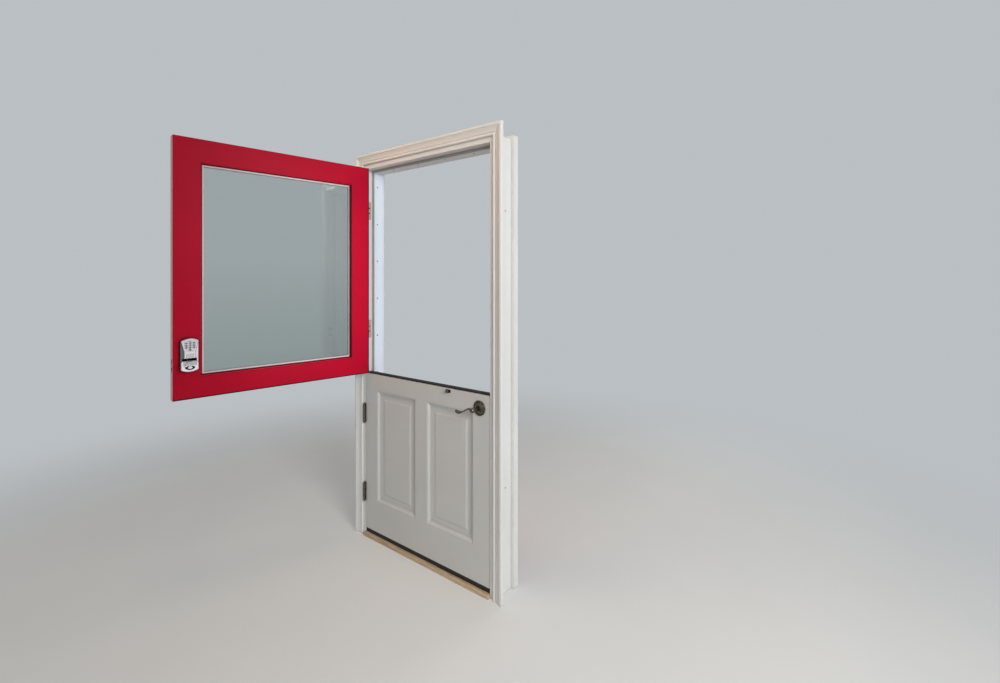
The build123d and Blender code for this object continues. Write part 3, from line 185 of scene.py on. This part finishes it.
class Tree:
    """A short way to build the shader nodes of a material or a world."""

    def __init__(self, owner, shader="Principled BSDF", output="Material Output"):
        owner.use_nodes = True
        self.owner = owner
        self.nodes = owner.node_tree.nodes
        self.links = owner.node_tree.links
        self.shader = self.nodes[shader]
        self.output = self.nodes[output]
        self.coords = self.add("ShaderNodeTexCoord")

    def add(self, kind, **values):
        """A new node with these settings."""
        node = self.nodes.new(kind)
        for key, value in values.items():
            setattr(node, key, value)
        return node

    def link(self, out, into):
        """A link between two sockets."""
        self.links.new(out, into)

    def put(self, socket, value):
        """A socket's value: another node's output or a number."""
        if hasattr(value, "is_output"):
            self.link(value, socket)
        else:
            socket.default_value = value

    def math(self, operation, a, b=0.0):
        """One step of arithmetic."""
        node = self.add("ShaderNodeMath", operation=operation)
        self.put(node.inputs[0], a)
        self.put(node.inputs[1], b)
        return node.outputs[0]

    def above(self, value, limit):
        """1 where the value is above the limit, or else 0."""
        return self.math("GREATER_THAN", value, limit)

    def below(self, value, limit):
        """1 where the value is below the limit, or else 0."""
        return self.math("LESS_THAN", value, limit)

    def within(self, value, low, high):
        """1 where the value lies between both limits, or else 0."""
        return self.all_of(self.above(value, low), self.below(value, high))

    def opposite(self, mask):
        """1 where the mask is 0, and 0 where it is 1."""
        return self.math("SUBTRACT", 1.0, mask)

    def all_of(self, first, *others):
        """1 where every mask is 1."""
        for other in others:
            first = self.math("MULTIPLY", first, other)
        return first

    def any_of(self, first, *others):
        """1 where at least one mask is 1."""
        for other in others:
            first = self.math("MAXIMUM", first, other)
        return first

    def dot(self, vector, direction):
        """How far a vector reaches in a direction."""
        node = self.add("ShaderNodeVectorMath", operation="DOT_PRODUCT")
        self.link(vector, node.inputs[0])
        node.inputs[1].default_value = direction
        return node.outputs["Value"]

    def length(self, vector):
        """A vector's length."""
        node = self.add("ShaderNodeVectorMath", operation="LENGTH")
        self.link(vector, node.inputs[0])
        return node.outputs["Value"]

    def stretched(self, scale):
        """The object's coordinates, scaled on each axis."""
        mapping = self.add("ShaderNodeMapping")
        mapping.inputs["Scale"].default_value = scale
        self.link(self.coords.outputs["Object"], mapping.inputs["Vector"])
        return mapping.outputs["Vector"]

    def noise(self, scale, detail=3.0, stretch=None):
        """Soft noise in the object's coordinates."""
        node = self.add("ShaderNodeTexNoise")
        node.inputs["Scale"].default_value = scale
        node.inputs["Detail"].default_value = detail
        vector = self.stretched(stretch) if stretch else self.coords.outputs["Object"]
        self.link(vector, node.inputs["Vector"])
        return node.outputs["Fac"]

    def remap(self, value, source, target, curve="LINEAR"):
        """The value moved from one range to another, and kept within it."""
        node = self.add("ShaderNodeMapRange", interpolation_type=curve)
        self.link(value, node.inputs["Value"])
        ends = ("From Min", "From Max", "To Min", "To Max")
        for name, number in zip(ends, (*source, *target)):
            node.inputs[name].default_value = number
        return node.outputs["Result"]

    def openness(self, distance, samples, source):
        """0 deep in a recess and 1 on an open face."""
        node = self.add("ShaderNodeAmbientOcclusion", samples=samples)
        node.inputs["Distance"].default_value = distance
        return self.remap(node.outputs["AO"], source, FULL)

    def mix(self, factor, a, b):
        """The first colour at 0, and the second at 1."""
        node = self.add("ShaderNodeMix", data_type="RGBA")
        self.put(node.inputs["Factor"], factor)
        for socket, colour in ((node.inputs[6], a), (node.inputs[7], b)):
            self.put(socket, colour if hasattr(colour, "is_output") else (*colour, 1.0))
        return node.outputs[2]

    def blend(self, factor, a, b):
        """The first shader at 0, and the second at 1."""
        node = self.add("ShaderNodeMixShader")
        for socket, value in zip(node.inputs, (factor, a, b)):
            self.link(value, socket)
        return node.outputs["Shader"]

    def bump(self, height, distance, strength):
        """Fine relief on the shader."""
        node = self.add("ShaderNodeBump")
        node.inputs["Distance"].default_value = distance
        node.inputs["Strength"].default_value = strength
        self.link(height, node.inputs["Height"])
        self.link(node.outputs["Normal"], self.shader.inputs["Normal"])


def new_material(name):
    """A new material, as a tree to build on."""
    return Tree(bpy.data.materials.new(name))


# Paint

# The second number darkens the white paint in its corners as painted shade
WHITE_PATCH, WHITE_CORNER_SHADE = 0.955, 0.75
RED_PATCH = 0.90
WHITE_SHEEN, RED_SHEEN = 0.25, 0.12
PAINT_SHADE_OPENNESS = (0.45, 0.92)
PAINT_ROUGHNESS = (0.34, 0.46)
ROLLER_SHARE, FINE_SHARE = 0.7, 0.3
FACING_LIMIT = 0.5


def patches_and_corner_shade(tree):
    """Where paint is patchy, and where it is open and free of the painted shade in its corners."""
    cloud = tree.remap(tree.noise(scale=3.5, detail=4.0), NOISE_RANGE, FULL)
    clear_of_shade_and_patina = tree.openness(distance=0.014, samples=6, source=PAINT_SHADE_OPENNESS)
    return cloud, clear_of_shade_and_patina


def white_coat(tree, white, cloud, clear_of_shade_and_patina):
    """White paint, faintly patchy, with painted shade darkening its corners."""
    coat = tree.mix(cloud, scaled(white, WHITE_PATCH), white)
    return tree.mix(clear_of_shade_and_patina, scaled(white, WHITE_CORNER_SHADE), coat)


def red_coat(tree, cloud, clear_of_shade_and_patina):
    """Red paint, faintly patchy, with painted shade darkening its corners."""
    coat = tree.mix(cloud, scaled(RED, RED_PATCH), RED)
    return tree.mix(clear_of_shade_and_patina, RECESS_SHADE_RED, coat)


def rolled_finish(tree):
    """The gloss and the fine relief that a roller leaves."""
    roller = tree.noise(scale=320.0, detail=2.0)
    fine = tree.noise(scale=900.0, detail=2.0)
    tree.link(tree.remap(roller, NOISE_RANGE, PAINT_ROUGHNESS), tree.shader.inputs["Roughness"])
    relief = tree.math(
        "ADD", tree.math("MULTIPLY", roller, ROLLER_SHARE), tree.math("MULTIPLY", fine, FINE_SHARE)
    )
    tree.bump(relief, distance=0.00025, strength=0.35)


def frame_paint(name):
    """The white paint of the frame, the casing and the trim."""
    tree = new_material(name)
    cloud, clear_of_shade_and_patina = patches_and_corner_shade(tree)
    tree.link(white_coat(tree, TRIM_WHITE, cloud, clear_of_shade_and_patina), tree.shader.inputs["Base Color"])
    tree.shader.inputs["Specular IOR Level"].default_value = WHITE_SHEEN
    rolled_finish(tree)
    return tree.owner


def glazed_leaf_shadow_lines(tree, red, run, height):
    """A dark band round the glass, part bead seam and part painted shadow, wider beside the hinges
    where the extra width is painted shadow, and painted shade along the hinge edge.
    """
    off_centre = tree.math("SUBTRACT", run, HINGE_GAP + LEAF_HALF)
    joint_and_shadow = tree.all_of(
        tree.within(off_centre, -SIGHT_HALF - HINGE_SIDE_JOINT_AND_SHADOW, SIGHT_HALF + BEAD_JOINT_AND_SHADOW),
        tree.within(height, SIGHT_LOW - BEAD_JOINT_AND_SHADOW, SIGHT_HIGH + BEAD_JOINT_AND_SHADOW),
    )
    # Dark band round the glass: bead joint and painted shadow
    red = tree.mix(joint_and_shadow, red, JOINT_AND_SHADOW_RED)
    # Painted shade along the hinge edge
    hinge_edge_shade = tree.below(off_centre, -LEAF_HALF + HINGE_EDGE_SHADE)
    return tree.mix(hinge_edge_shade, red, HINGE_EDGE_SHADE_RED)


def leaf_paint(name, outward, along, base, top, glazed=False):
    """A leaf's paint: red on its outer side, white on its room side and its edges."""
    tree = new_material(name)
    position, normal = tree.coords.outputs["Object"], tree.coords.outputs["Normal"]
    depth = tree.math("SUBTRACT", tree.dot(position, outward), PIN.dot(outward))
    run = tree.math("SUBTRACT", tree.dot(position, along), PIN.dot(along))
    height = tree.dot(position, UP)
    outer_half = tree.above(depth, PIN_PROUD + LEAF_THICKNESS / 2)
    free_edge = tree.above(run, HINGE_GAP + 2 * LEAF_HALF - EDGE_BAND)
    edges = tree.any_of(
        tree.below(run, HINGE_GAP + EDGE_BAND),
        free_edge,
        tree.below(height, base + EDGE_BAND),
        tree.above(height, top - EDGE_BAND),
    )
    facing_out = tree.above(tree.dot(normal, outward), FACING_LIMIT)
    on_edge = tree.all_of(edges, tree.opposite(facing_out))
    red_side = tree.all_of(outer_half, tree.opposite(on_edge))
    cloud, clear_of_shade_and_patina = patches_and_corner_shade(tree)
    white = white_coat(tree, GREIGE, cloud, clear_of_shade_and_patina)
    red = red_coat(tree, cloud, clear_of_shade_and_patina)
    if glazed:
        # Free edge white, tinted pink as painted reflected light
        white = tree.mix(free_edge, white, EDGE_WHITE_PINK_BOUNCE)
        red = glazed_leaf_shadow_lines(tree, red, run, height)
    # A dark line along the bottom edge
    red = tree.mix(tree.below(height, base + BOTTOM_DARK_LINE), red, BOTTOM_LINE_RED)
    tree.link(tree.mix(red_side, white, red), tree.shader.inputs["Base Color"])
    sheen = tree.remap(red_side, FULL, (WHITE_SHEEN, RED_SHEEN))
    tree.link(sheen, tree.shader.inputs["Specular IOR Level"])
    rolled_finish(tree)
    return tree.owner


# Metal

METAL_PATCHES = (0.35, 0.65)
METAL_OPENNESS = (0.45, 0.95)
RECESS_PATINA_AND_SHADE_TONE = 0.12
GRAIN_STRETCH = (1.0, 1.0, 0.08)
SMOOTHER, ROUGHER = 0.05, 0.08


def metal(name, colour, dark, rough, recess=0.0, mottle=60.0, zones=None):
    """Cast or rolled metal with a light mottle, dark in its recesses: patina on the aged metal,
    painted shade on the nickel.
    """
    tree = new_material(name)
    cloud = tree.remap(tree.noise(scale=mottle, detail=4.0), METAL_PATCHES, FULL)
    grain = tree.noise(scale=700.0, detail=2.0, stretch=GRAIN_STRETCH)
    base = tree.mix(cloud, dark, colour)
    # Darker in recesses: patina on the aged metal, painted shade on the nickel
    if recess:
        clear_of_shade_and_patina = tree.openness(distance=recess, samples=8, source=METAL_OPENNESS)
        base = tree.mix(clear_of_shade_and_patina, scaled(dark, RECESS_PATINA_AND_SHADE_TONE), base)
    if zones:
        base = zones(tree, base)
    tree.link(base, tree.shader.inputs["Base Color"])
    tree.shader.inputs["Metallic"].default_value = 1.0
    roughness = tree.remap(grain, NOISE_RANGE, (rough - SMOOTHER, rough + ROUGHER))
    tree.link(roughness, tree.shader.inputs["Roughness"])
    tree.bump(grain, distance=0.00004, strength=0.4)
    return tree.owner


def hinge_daylight_zones(tree, base):
    """The upper hinges get a pale non-metal colour as painted reflection of daylight; the lower
    hinges are bare metal.
    """
    height = tree.dot(tree.coords.outputs["Object"], UP)
    tree.link(tree.below(height, SIGHT_LOW), tree.shader.inputs["Metallic"])
    # Pale above the sight's foot: painted reflection of daylight
    return tree.mix(tree.above(height, SIGHT_LOW), base, HINGE_DAYLIGHT_REFLECTION)


def keypad_ring_shadow(tree, aside, up):
    """Mask of the painted shadow in a flattened ring round the key plug."""
    spot = tree.add("ShaderNodeCombineXYZ")
    tree.link(aside, spot.inputs["X"])
    lowered = tree.math("ADD", up, RING_DROP)
    tree.link(tree.math("MULTIPLY", lowered, RING_FLATTEN), spot.inputs["Y"])
    return tree.within(tree.length(spot.outputs["Vector"]), *RING_RADII)


def keypad_zones(tree, base):
    """The keypad's plate, key ground, blank, hood, ring and slot, each in its tone; the plate's
    darker and paler sides are painted shade and painted reflection, and the ring and the slot are
    painted shade.
    """
    position = tree.coords.outputs["Object"]
    outer_face = PIN.dot(OUT_OPEN) - PIN.y + LEAF_THICKNESS
    axis = swung(LOCK_X, 0.0)
    proud = tree.math("SUBTRACT", tree.dot(position, OUT_OPEN), outer_face)
    aside = tree.math("SUBTRACT", tree.dot(position, ALONG_OPEN), axis.dot(ALONG_OPEN))
    up = tree.math("SUBTRACT", tree.dot(position, UP), TURN_Z)
    off_centre = tree.math("ABSOLUTE", aside)
    on_shield = tree.all_of(
        tree.below(off_centre, tree.remap(up, TAPER_HEIGHTS, TAPER_HALVES)),
        tree.above(proud, PAD_PROUD - FACE_SLACK),
    )
    zones = (
        # Plate: painted shade on the left side, painted reflection of daylight on the right side
        (
            tree.below(proud, PAD_BASE + PLATE_SLACK),
            tree.mix(tree.below(aside, 0.0), PLATE_PAINTED_SHADE, PLATE_PAINTED_REFLECTION),
        ),
        (tree.all_of(on_shield, tree.within(up, *KEYS_BAND)), KEYS_GREY),
        (tree.all_of(on_shield, tree.within(up, SLOT_HIGH, BLANK_TOP)), BLANK_GREY),
        (
            tree.all_of(
                tree.below(off_centre, HOOD_HALF), tree.within(up, HOOD_BASE, SLOT_LOW)
            ),
            HOOD_GREY,
        ),
        # Painted shadow round the key plug
        (keypad_ring_shadow(tree, aside, up), RING_SHADOW_BLACK),
        # Slot: painted shade in the recess
        (
            tree.all_of(
                tree.below(off_centre, SLOT_HALF),
                tree.within(up, SLOT_LOW, SLOT_HIGH),
                tree.below(proud, PAD_PROUD - SLOT_DEPTH),
            ),
            SLOT_SHADE_BLACK,
        ),
    )
    for mask, colour in zones:
        base = tree.mix(mask, base, colour)
    return base


# Rubber, plastic, timber and glass

SOFT_DARK, SOFT_PALE = 0.85, 1.1
SOFT_SWING = 0.06
WAVE_STRETCH = (0.12, 1.0, 1.0)
PORE_STRETCH = (0.05, 1.0, 1.0)
PORE_RANGE, PORE_SHARES = (0.35, 0.5), (0.5, 0.0)
TIMBER_ROUGHNESS = (0.45, 0.6)
TINT_HEIGHTS = (1.05, 1.55)
HAZE_RANGE, HAZE_ROUGHNESS = (0.4, 0.7), (0.0, 0.03)


def soft(name, colour, rough):
    """Rubber or plastic with a fine matt grain."""
    tree = new_material(name)
    grain = tree.noise(scale=400.0)
    cloud = tree.noise(scale=20.0)
    base = tree.mix(cloud, scaled(colour, SOFT_DARK), scaled(colour, SOFT_PALE))
    tree.link(base, tree.shader.inputs["Base Color"])
    roughness = tree.remap(cloud, NOISE_RANGE, (rough - SOFT_SWING, rough + SOFT_SWING))
    tree.link(roughness, tree.shader.inputs["Roughness"])
    tree.bump(grain, distance=0.0001, strength=0.4)
    return tree.owner


def sill(name):
    """Oiled timber with its grain along the threshold."""
    tree = new_material(name)
    wave = tree.add("ShaderNodeTexWave", wave_type="BANDS", bands_direction="Y")
    for socket, number in (("Scale", 16.0), ("Distortion", 5.0), ("Detail", 4.0)):
        wave.inputs[socket].default_value = number
    tree.link(tree.stretched(WAVE_STRETCH), wave.inputs["Vector"])
    pores = tree.noise(scale=260.0, detail=4.0, stretch=PORE_STRETCH)
    base = tree.mix(wave.outputs["Fac"], TIMBER_DARK, TIMBER_PALE)
    base = tree.mix(tree.remap(pores, PORE_RANGE, PORE_SHARES), base, TIMBER_PORE)
    tree.link(base, tree.shader.inputs["Base Color"])
    roughness = tree.remap(pores, NOISE_RANGE, TIMBER_ROUGHNESS)
    tree.link(roughness, tree.shader.inputs["Roughness"])
    tree.bump(pores, distance=0.0003, strength=0.4)
    return tree.owner


def glass(name):
    """Clear float glass, faintly green, that lets light through to what it covers."""
    tree = new_material(name)
    shader = tree.shader
    height = tree.dot(tree.coords.outputs["Object"], UP)
    tint = tree.mix(tree.remap(height, TINT_HEIGHTS, FULL), GLASS_LOW, GLASS_HIGH)
    tree.link(tint, shader.inputs["Base Color"])
    shader.inputs["Transmission Weight"].default_value = 1.0
    shader.inputs["IOR"].default_value = 1.5
    haze = tree.noise(scale=6.0)
    tree.link(tree.remap(haze, HAZE_RANGE, HAZE_ROUGHNESS), shader.inputs["Roughness"])
    path = tree.add("ShaderNodeLightPath")
    see_through = tree.add("ShaderNodeBsdfTransparent")
    see_through.inputs["Color"].default_value = (*GLASS_SHADOW, 1.0)
    surface = tree.blend(
        path.outputs["Is Shadow Ray"], shader.outputs["BSDF"], see_through.outputs["BSDF"]
    )
    tree.link(surface, tree.output.inputs["Surface"])
    return tree.owner


# Materials of the CAD pieces

AGED = dict(
    colour=srgb(0.55, 0.52, 0.47),
    dark=srgb(0.27, 0.25, 0.22),
    rough=0.20,
    recess=0.016,
    mottle=150.0,
)
# The nickel's darkening in its recesses is painted shade
NICKEL = dict(
    colour=srgb(0.90, 0.895, 0.90), dark=srgb(0.80, 0.795, 0.80), rough=0.22, recess=0.004
)
KEYPAD_NICKEL = dict(
    colour=srgb(0.99, 0.95, 0.97), dark=srgb(0.94, 0.91, 0.93), rough=0.24, recess=0.005
)
PLUG = dict(colour=srgb(0.95, 0.94, 0.92), dark=srgb(0.86, 0.85, 0.83), rough=0.3)
CASE_BRONZE = dict(colour=srgb(0.17, 0.12, 0.10), dark=srgb(0.10, 0.07, 0.06), rough=0.45)

lower_paint = leaf_paint("leaf_lower_paint", OUT_SHUT, ALONG_SHUT, LOWER_BASE, LOWER_TOP)
upper_paint = leaf_paint(
    "leaf_upper_paint", OUT_OPEN, ALONG_OPEN, UPPER_BASE, UPPER_TOP, glazed=True
)
slot_looks = {
    "frame_paint": frame_paint("frame_paint"),
    "sill_wood": sill("sill_timber"),
    "strip_vinyl": soft("strip_vinyl", srgb(0.66, 0.65, 0.63), rough=0.5),
    "seal_rubber": soft("seal_rubber", srgb(0.12, 0.115, 0.11), rough=0.62),
    "bronze": metal("aged_pewter", **AGED),
    "nickel": metal("satin_nickel", **NICKEL),
    "plug_brass": metal("plug_nickel", **PLUG),
    "key_plastic": soft("key_plastic", srgb(0.72, 0.72, 0.73), rough=0.4),
    "clear_glass": glass("clear_glass"),
    "spacer_aluminium": soft("spacer_aluminium", srgb(0.88, 0.88, 0.87), rough=0.35),
}
hinge_metal = metal("hinge_metal", **AGED, zones=hinge_daylight_zones)
own_looks = {
    "keypad_housing": metal("keypad_nickel", **KEYPAD_NICKEL, zones=keypad_zones),
    "deadbolt_case": metal("case_bronze", **CASE_BRONZE),
    "hinge_jamb_leaves": hinge_metal,
    "hinge_pins": hinge_metal,
    "upper_hinge_leaves": hinge_metal,
}


def look_of(name):
    """A piece's own look, its leaf's paint, or the look of its slot."""
    if name in own_looks:
        return own_looks[name]
    if slots[name] == "leaf_paint":
        return upper_paint if name in bodies["upper_leaf"] else lower_paint
    return slot_looks[slots[name]]


for name, piece in nodes.items():
    for material_slot in piece.material_slots:
        material_slot.material = look_of(name)

# Bodies and pieces that swing with the upper leaf
OTHER_BODIES = ("frame", "lower_leaf", "lever_set", "latch")
upper_bodies = [name for name in bodies if name not in OTHER_BODIES]
upper_pieces = [nodes[part] for name in upper_bodies for part in bodies[name]]


# Numerals on the keys


def numeral_mesh(digit, ink):
    """A numeral's flat, slightly raised shape."""
    curve = bpy.data.curves.new("numeral_%d_curve" % digit, "FONT")
    curve.body = "%d" % digit
    curve.size = NUMERAL_SIZE
    curve.offset = NUMERAL_WEIGHT
    curve.align_x = "CENTER"
    curve.align_y = "CENTER"
    curve.extrude = NUMERAL_RELIEF
    curve.resolution_u = 3
    template = bpy.data.objects.new("numeral_template", curve)
    mesh = bpy.data.meshes.new_from_object(template)
    mesh.name = "numeral_%d" % digit
    mesh.materials.clear()
    mesh.materials.append(ink)
    bpy.data.objects.remove(template)
    return mesh


numeral_ink = soft("numeral_ink", srgb(0.10, 0.10, 0.11), rough=0.5)
numeral_turn = Matrix((-ALONG_OPEN, UP, OUT_OPEN)).transposed().to_4x4()
key_face = swung(0.0, LEAF_THICKNESS + PAD_PROUD + KEY_PROUD).dot(OUT_OPEN)
for digit in range(10):
    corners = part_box("key_%d" % digit)
    middle = (Vector(corners[0]) + Vector(corners[1])) / 2
    place = middle + OUT_OPEN * (key_face - middle.dot(OUT_OPEN))
    numeral = bpy.data.objects.new("numeral_%d" % digit, numeral_mesh(digit, numeral_ink))
    bpy.context.scene.collection.objects.link(numeral)
    numeral.matrix_world = Matrix.Translation(place) @ numeral_turn
    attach(numeral, "key_%d_body" % digit)
    upper_pieces.append(numeral)


# Glazing seal on both faces of the glass


def seal_mesh(name, face, sense, look):
    """A frame of seal on one face of the glass, narrower beside the hinges."""
    points, faces = [], []
    for inward, rise in SEAL_SECTION:
        hinge_side, lock_side = HINGE_SIDE_SHARE * inward - SIGHT_HALF, SIGHT_HALF - inward
        low, high = SIGHT_LOW + inward, SIGHT_HIGH - inward
        for x, z in ((hinge_side, low), (lock_side, low), (lock_side, high), (hinge_side, high)):
            points.append(swung(x, face + sense * rise, z))
    count = len(SEAL_SECTION)
    for row in range(count):
        for corner in range(4):
            after = (corner + 1) % 4
            below, above = 4 * row, 4 * ((row + 1) % count)
            faces.append((below + corner, below + after, above + after, above + corner))
    mesh = bpy.data.meshes.new(name)
    mesh.from_pydata(points, [], faces)
    closed = bmesh.new()
    closed.from_mesh(mesh)
    bmesh.ops.recalc_face_normals(closed, faces=closed.faces)
    closed.to_mesh(mesh)
    closed.free()
    mesh.materials.append(look)
    return mesh


white_seal = soft("seal_white", srgb(0.93, 0.915, 0.90), rough=0.45)
# The outer seal is white tinted pink as painted light reflected from the red paint
pink_bounce_seal = soft("seal_pink_bounce", srgb(0.93, 0.82, 0.81), rough=0.45)
for name, face, sense, look in (
    ("glazing_seal_inner", GLASS_ROOM_FACE, -1, white_seal),
    ("glazing_seal_outer", GLASS_OUTER_FACE, 1, pink_bounce_seal),
):
    seal = bpy.data.objects.new(name, seal_mesh(name, face, sense, look))
    bpy.context.scene.collection.objects.link(seal)
    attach(seal, "upper_leaf")
    upper_pieces.append(seal)


# Floor

FLOOR_HALF = 60.0
FADE_RANGE = (1.6, 4.2)
GLOW_STRENGTHS = (0.35, 1.0)
FLOOR_LIFT = 0.08


def seen_plainly(tree, path):
    """1 for rays from the camera, a reflection or a pane, and 0 for the light's own."""
    kinds = ("Is Camera Ray", "Is Glossy Ray", "Is Transmission Ray")
    return tree.any_of(*(path.outputs[kind] for kind in kinds))


def emission(tree, colour, strength):
    """Light of this colour and strength."""
    node = tree.add("ShaderNodeEmission")
    node.inputs["Color"].default_value = (*colour, 1.0)
    tree.link(strength, node.inputs["Strength"])
    return node.outputs["Emission"]


def floor_look(name):
    """Pale floor that fades into the backdrop's plain glow away from the part."""
    tree = new_material(name)
    tint = tree.mix(tree.noise(scale=2.0), FLOOR_DARK, FLOOR_PALE)
    tree.link(tint, tree.shader.inputs["Base Color"])
    tree.shader.inputs["Roughness"].default_value = 0.7
    reach = tree.length(tree.coords.outputs["Object"])
    far = tree.remap(reach, FADE_RANGE, FULL, curve="SMOOTHSTEP")
    path = tree.add("ShaderNodeLightPath")
    glow = tree.remap(seen_plainly(tree, path), FULL, GLOW_STRENGTHS)
    lift = tree.math("MULTIPLY", path.outputs["Is Camera Ray"], FLOOR_LIFT)
    lit = tree.add("ShaderNodeAddShader")
    tree.link(tree.shader.outputs["BSDF"], lit.inputs[0])
    tree.link(emission(tree, WHITE, lift), lit.inputs[1])
    surface = tree.blend(far, lit.outputs["Shader"], emission(tree, BACKDROP, glow))
    tree.link(surface, tree.output.inputs["Surface"])
    return tree.owner


floor_mesh = bpy.data.meshes.new("floor")
floor_corners = [
    (x * FLOOR_HALF, y * FLOOR_HALF, 0.0) for x, y in ((-1, -1), (1, -1), (1, 1), (-1, 1))
]
floor_mesh.from_pydata(floor_corners, [], [(0, 1, 2, 3)])
floor_mesh.materials.append(floor_look("floor_pale"))
floor = bpy.data.objects.new("floor", floor_mesh)
bpy.context.scene.collection.objects.link(floor)

# Camera, fitted to the photograph
camera_data = bpy.data.cameras.new("camera")
camera_data.lens = 17.34
camera_data.sensor_width = 36.0
camera_data.shift_x = -0.0105
camera_data.shift_y = -0.0624
camera = bpy.data.objects.new("camera", camera_data)
camera.location = (1.85846, -1.69187, 1.45372)
camera.rotation_euler = (math.radians(90.0), 0.0, math.radians(37.145))
bpy.context.scene.collection.objects.link(camera)
bpy.context.scene.camera = camera


# Lights


def area_light(name, place, target, size, power, colour=WHITE, spread=180.0):
    """A rectangular lamp at a place, aimed at a target, unseen by the camera."""
    data = bpy.data.lights.new(name, "AREA")
    data.shape = "RECTANGLE"
    data.size, data.size_y = size
    data.energy = power
    data.color = colour
    data.spread = math.radians(spread)
    lamp = bpy.data.objects.new(name, data)
    lamp.location = place
    lamp.rotation_euler = (Vector(target) - Vector(place)).to_track_quat("-Z", "Y").to_euler()
    lamp.visible_camera = False
    bpy.context.scene.collection.objects.link(lamp)
    return lamp


def lit_only(lamp, pieces, others_too=False):
    """The lamp lights these pieces alone, or all but these."""
    receivers = bpy.data.collections.new(lamp.name + "_lit")
    for piece in pieces:
        receivers.objects.link(piece)
    for member in receivers.collection_objects:
        member.light_linking.link_state = "EXCLUDE" if others_too else "INCLUDE"
    lamp.light_linking.receiver_collection = receivers


key_light = area_light(
    "key_light",
    place=(3.8, -1.5, 2.4),
    target=(0.0, 0.0, 0.9),
    size=(1.5, 1.5),
    power=110.0,
    colour=(0.985, 1.0, 1.0),
)
leaf_light = area_light(
    "leaf_light",
    place=(3.0, -2.9, 2.7),
    target=(-0.5, -0.4, 1.5),
    size=(2.0, 1.8),
    power=4.0,
)
side_light = area_light(
    "side_light",
    place=(3.4, -0.1, 2.5),
    target=(-0.5, -0.4, 1.5),
    size=(1.2, 1.4),
    power=20.0,
)
front_light = area_light(
    "front_light",
    place=(0.6, -4.2, 2.2),
    target=(0.0, 0.0, 1.2),
    size=(2.0, 1.6),
    power=7.0,
)
ceiling_light = area_light(
    "ceiling_light",
    place=(-0.2, -0.9, 2.9),
    target=(0.0, -0.2, 1.6),
    size=(0.7, 0.5),
    power=8.0,
    colour=(1.0, 0.62, 0.32),
)
day_light = area_light(
    "day_light",
    place=(0.30, -0.30, 1.5),
    target=(-0.46, 0.0, 1.48),
    size=(0.3, 0.9),
    power=5.0,
    colour=(0.85, 0.90, 1.0),
)
outside_light = area_light(
    "outside_light",
    place=(0.30, 0.086, 1.5),
    target=(-0.45, 0.086, 1.5),
    size=(0.04, 1.3),
    power=0.085,
    colour=(0.15, 0.48, 1.0),
    spread=9.0,
)
back_light = area_light(
    "back_light",
    place=(0.9, 4.0, 2.3),
    target=(0.0, 0.0, 1.1),
    size=(2.0, 1.6),
    power=26.0,
)
lock_light = area_light(
    "lock_light",
    place=(2.6, -0.75, 0.62),
    target=(-0.578, -0.855, 1.09),
    size=(1.3, 1.0),
    power=1.3,
    colour=(1.0, 0.90, 0.92),
)

# What each lamp lights
panes = nodes["glass_panes"]
upper_lit = [piece for piece in upper_pieces if piece != panes]
lit_jambs = [nodes[name] for name in ("head_jamb", "hinge_jamb")]
key_parts = [part for name in upper_bodies if name.startswith("key") for part in bodies[name]]
lock_pieces = [nodes[name] for name in key_parts + ["keypad_housing"]]
for lamp in (leaf_light, side_light, day_light):
    lit_only(lamp, upper_lit)
for lamp in (key_light, ceiling_light, back_light):
    lit_only(lamp, upper_pieces, others_too=True)
lit_only(front_light, [panes], others_too=True)
lit_only(outside_light, lit_jambs)
lit_only(lock_light, lock_pieces)


# Surroundings: a dim sky as light, seen directly as the plain backdrop

SKY_HEIGHTS = (-0.3, 0.9)
SKY_STRENGTHS = (0.04, 0.32)


def studio_world(name):
    """The world's shader."""
    world = bpy.data.worlds.new(name)
    tree = Tree(world, "Background", "World Output")
    sky = tree.shader
    sky.inputs["Color"].default_value = (*SKY_WHITE, 1.0)
    height = tree.dot(tree.coords.outputs["Generated"], UP)
    tree.link(tree.remap(height, SKY_HEIGHTS, SKY_STRENGTHS), sky.inputs["Strength"])
    plain = tree.add("ShaderNodeBackground")
    plain.inputs["Color"].default_value = (*BACKDROP, 1.0)
    seen = seen_plainly(tree, tree.add("ShaderNodeLightPath"))
    surface = tree.blend(seen, sky.outputs["Background"], plain.outputs["Background"])
    tree.link(surface, tree.output.inputs["Surface"])
    return world


bpy.context.scene.world = studio_world("studio")
bpy.context.scene.view_settings.view_transform = "Standard"
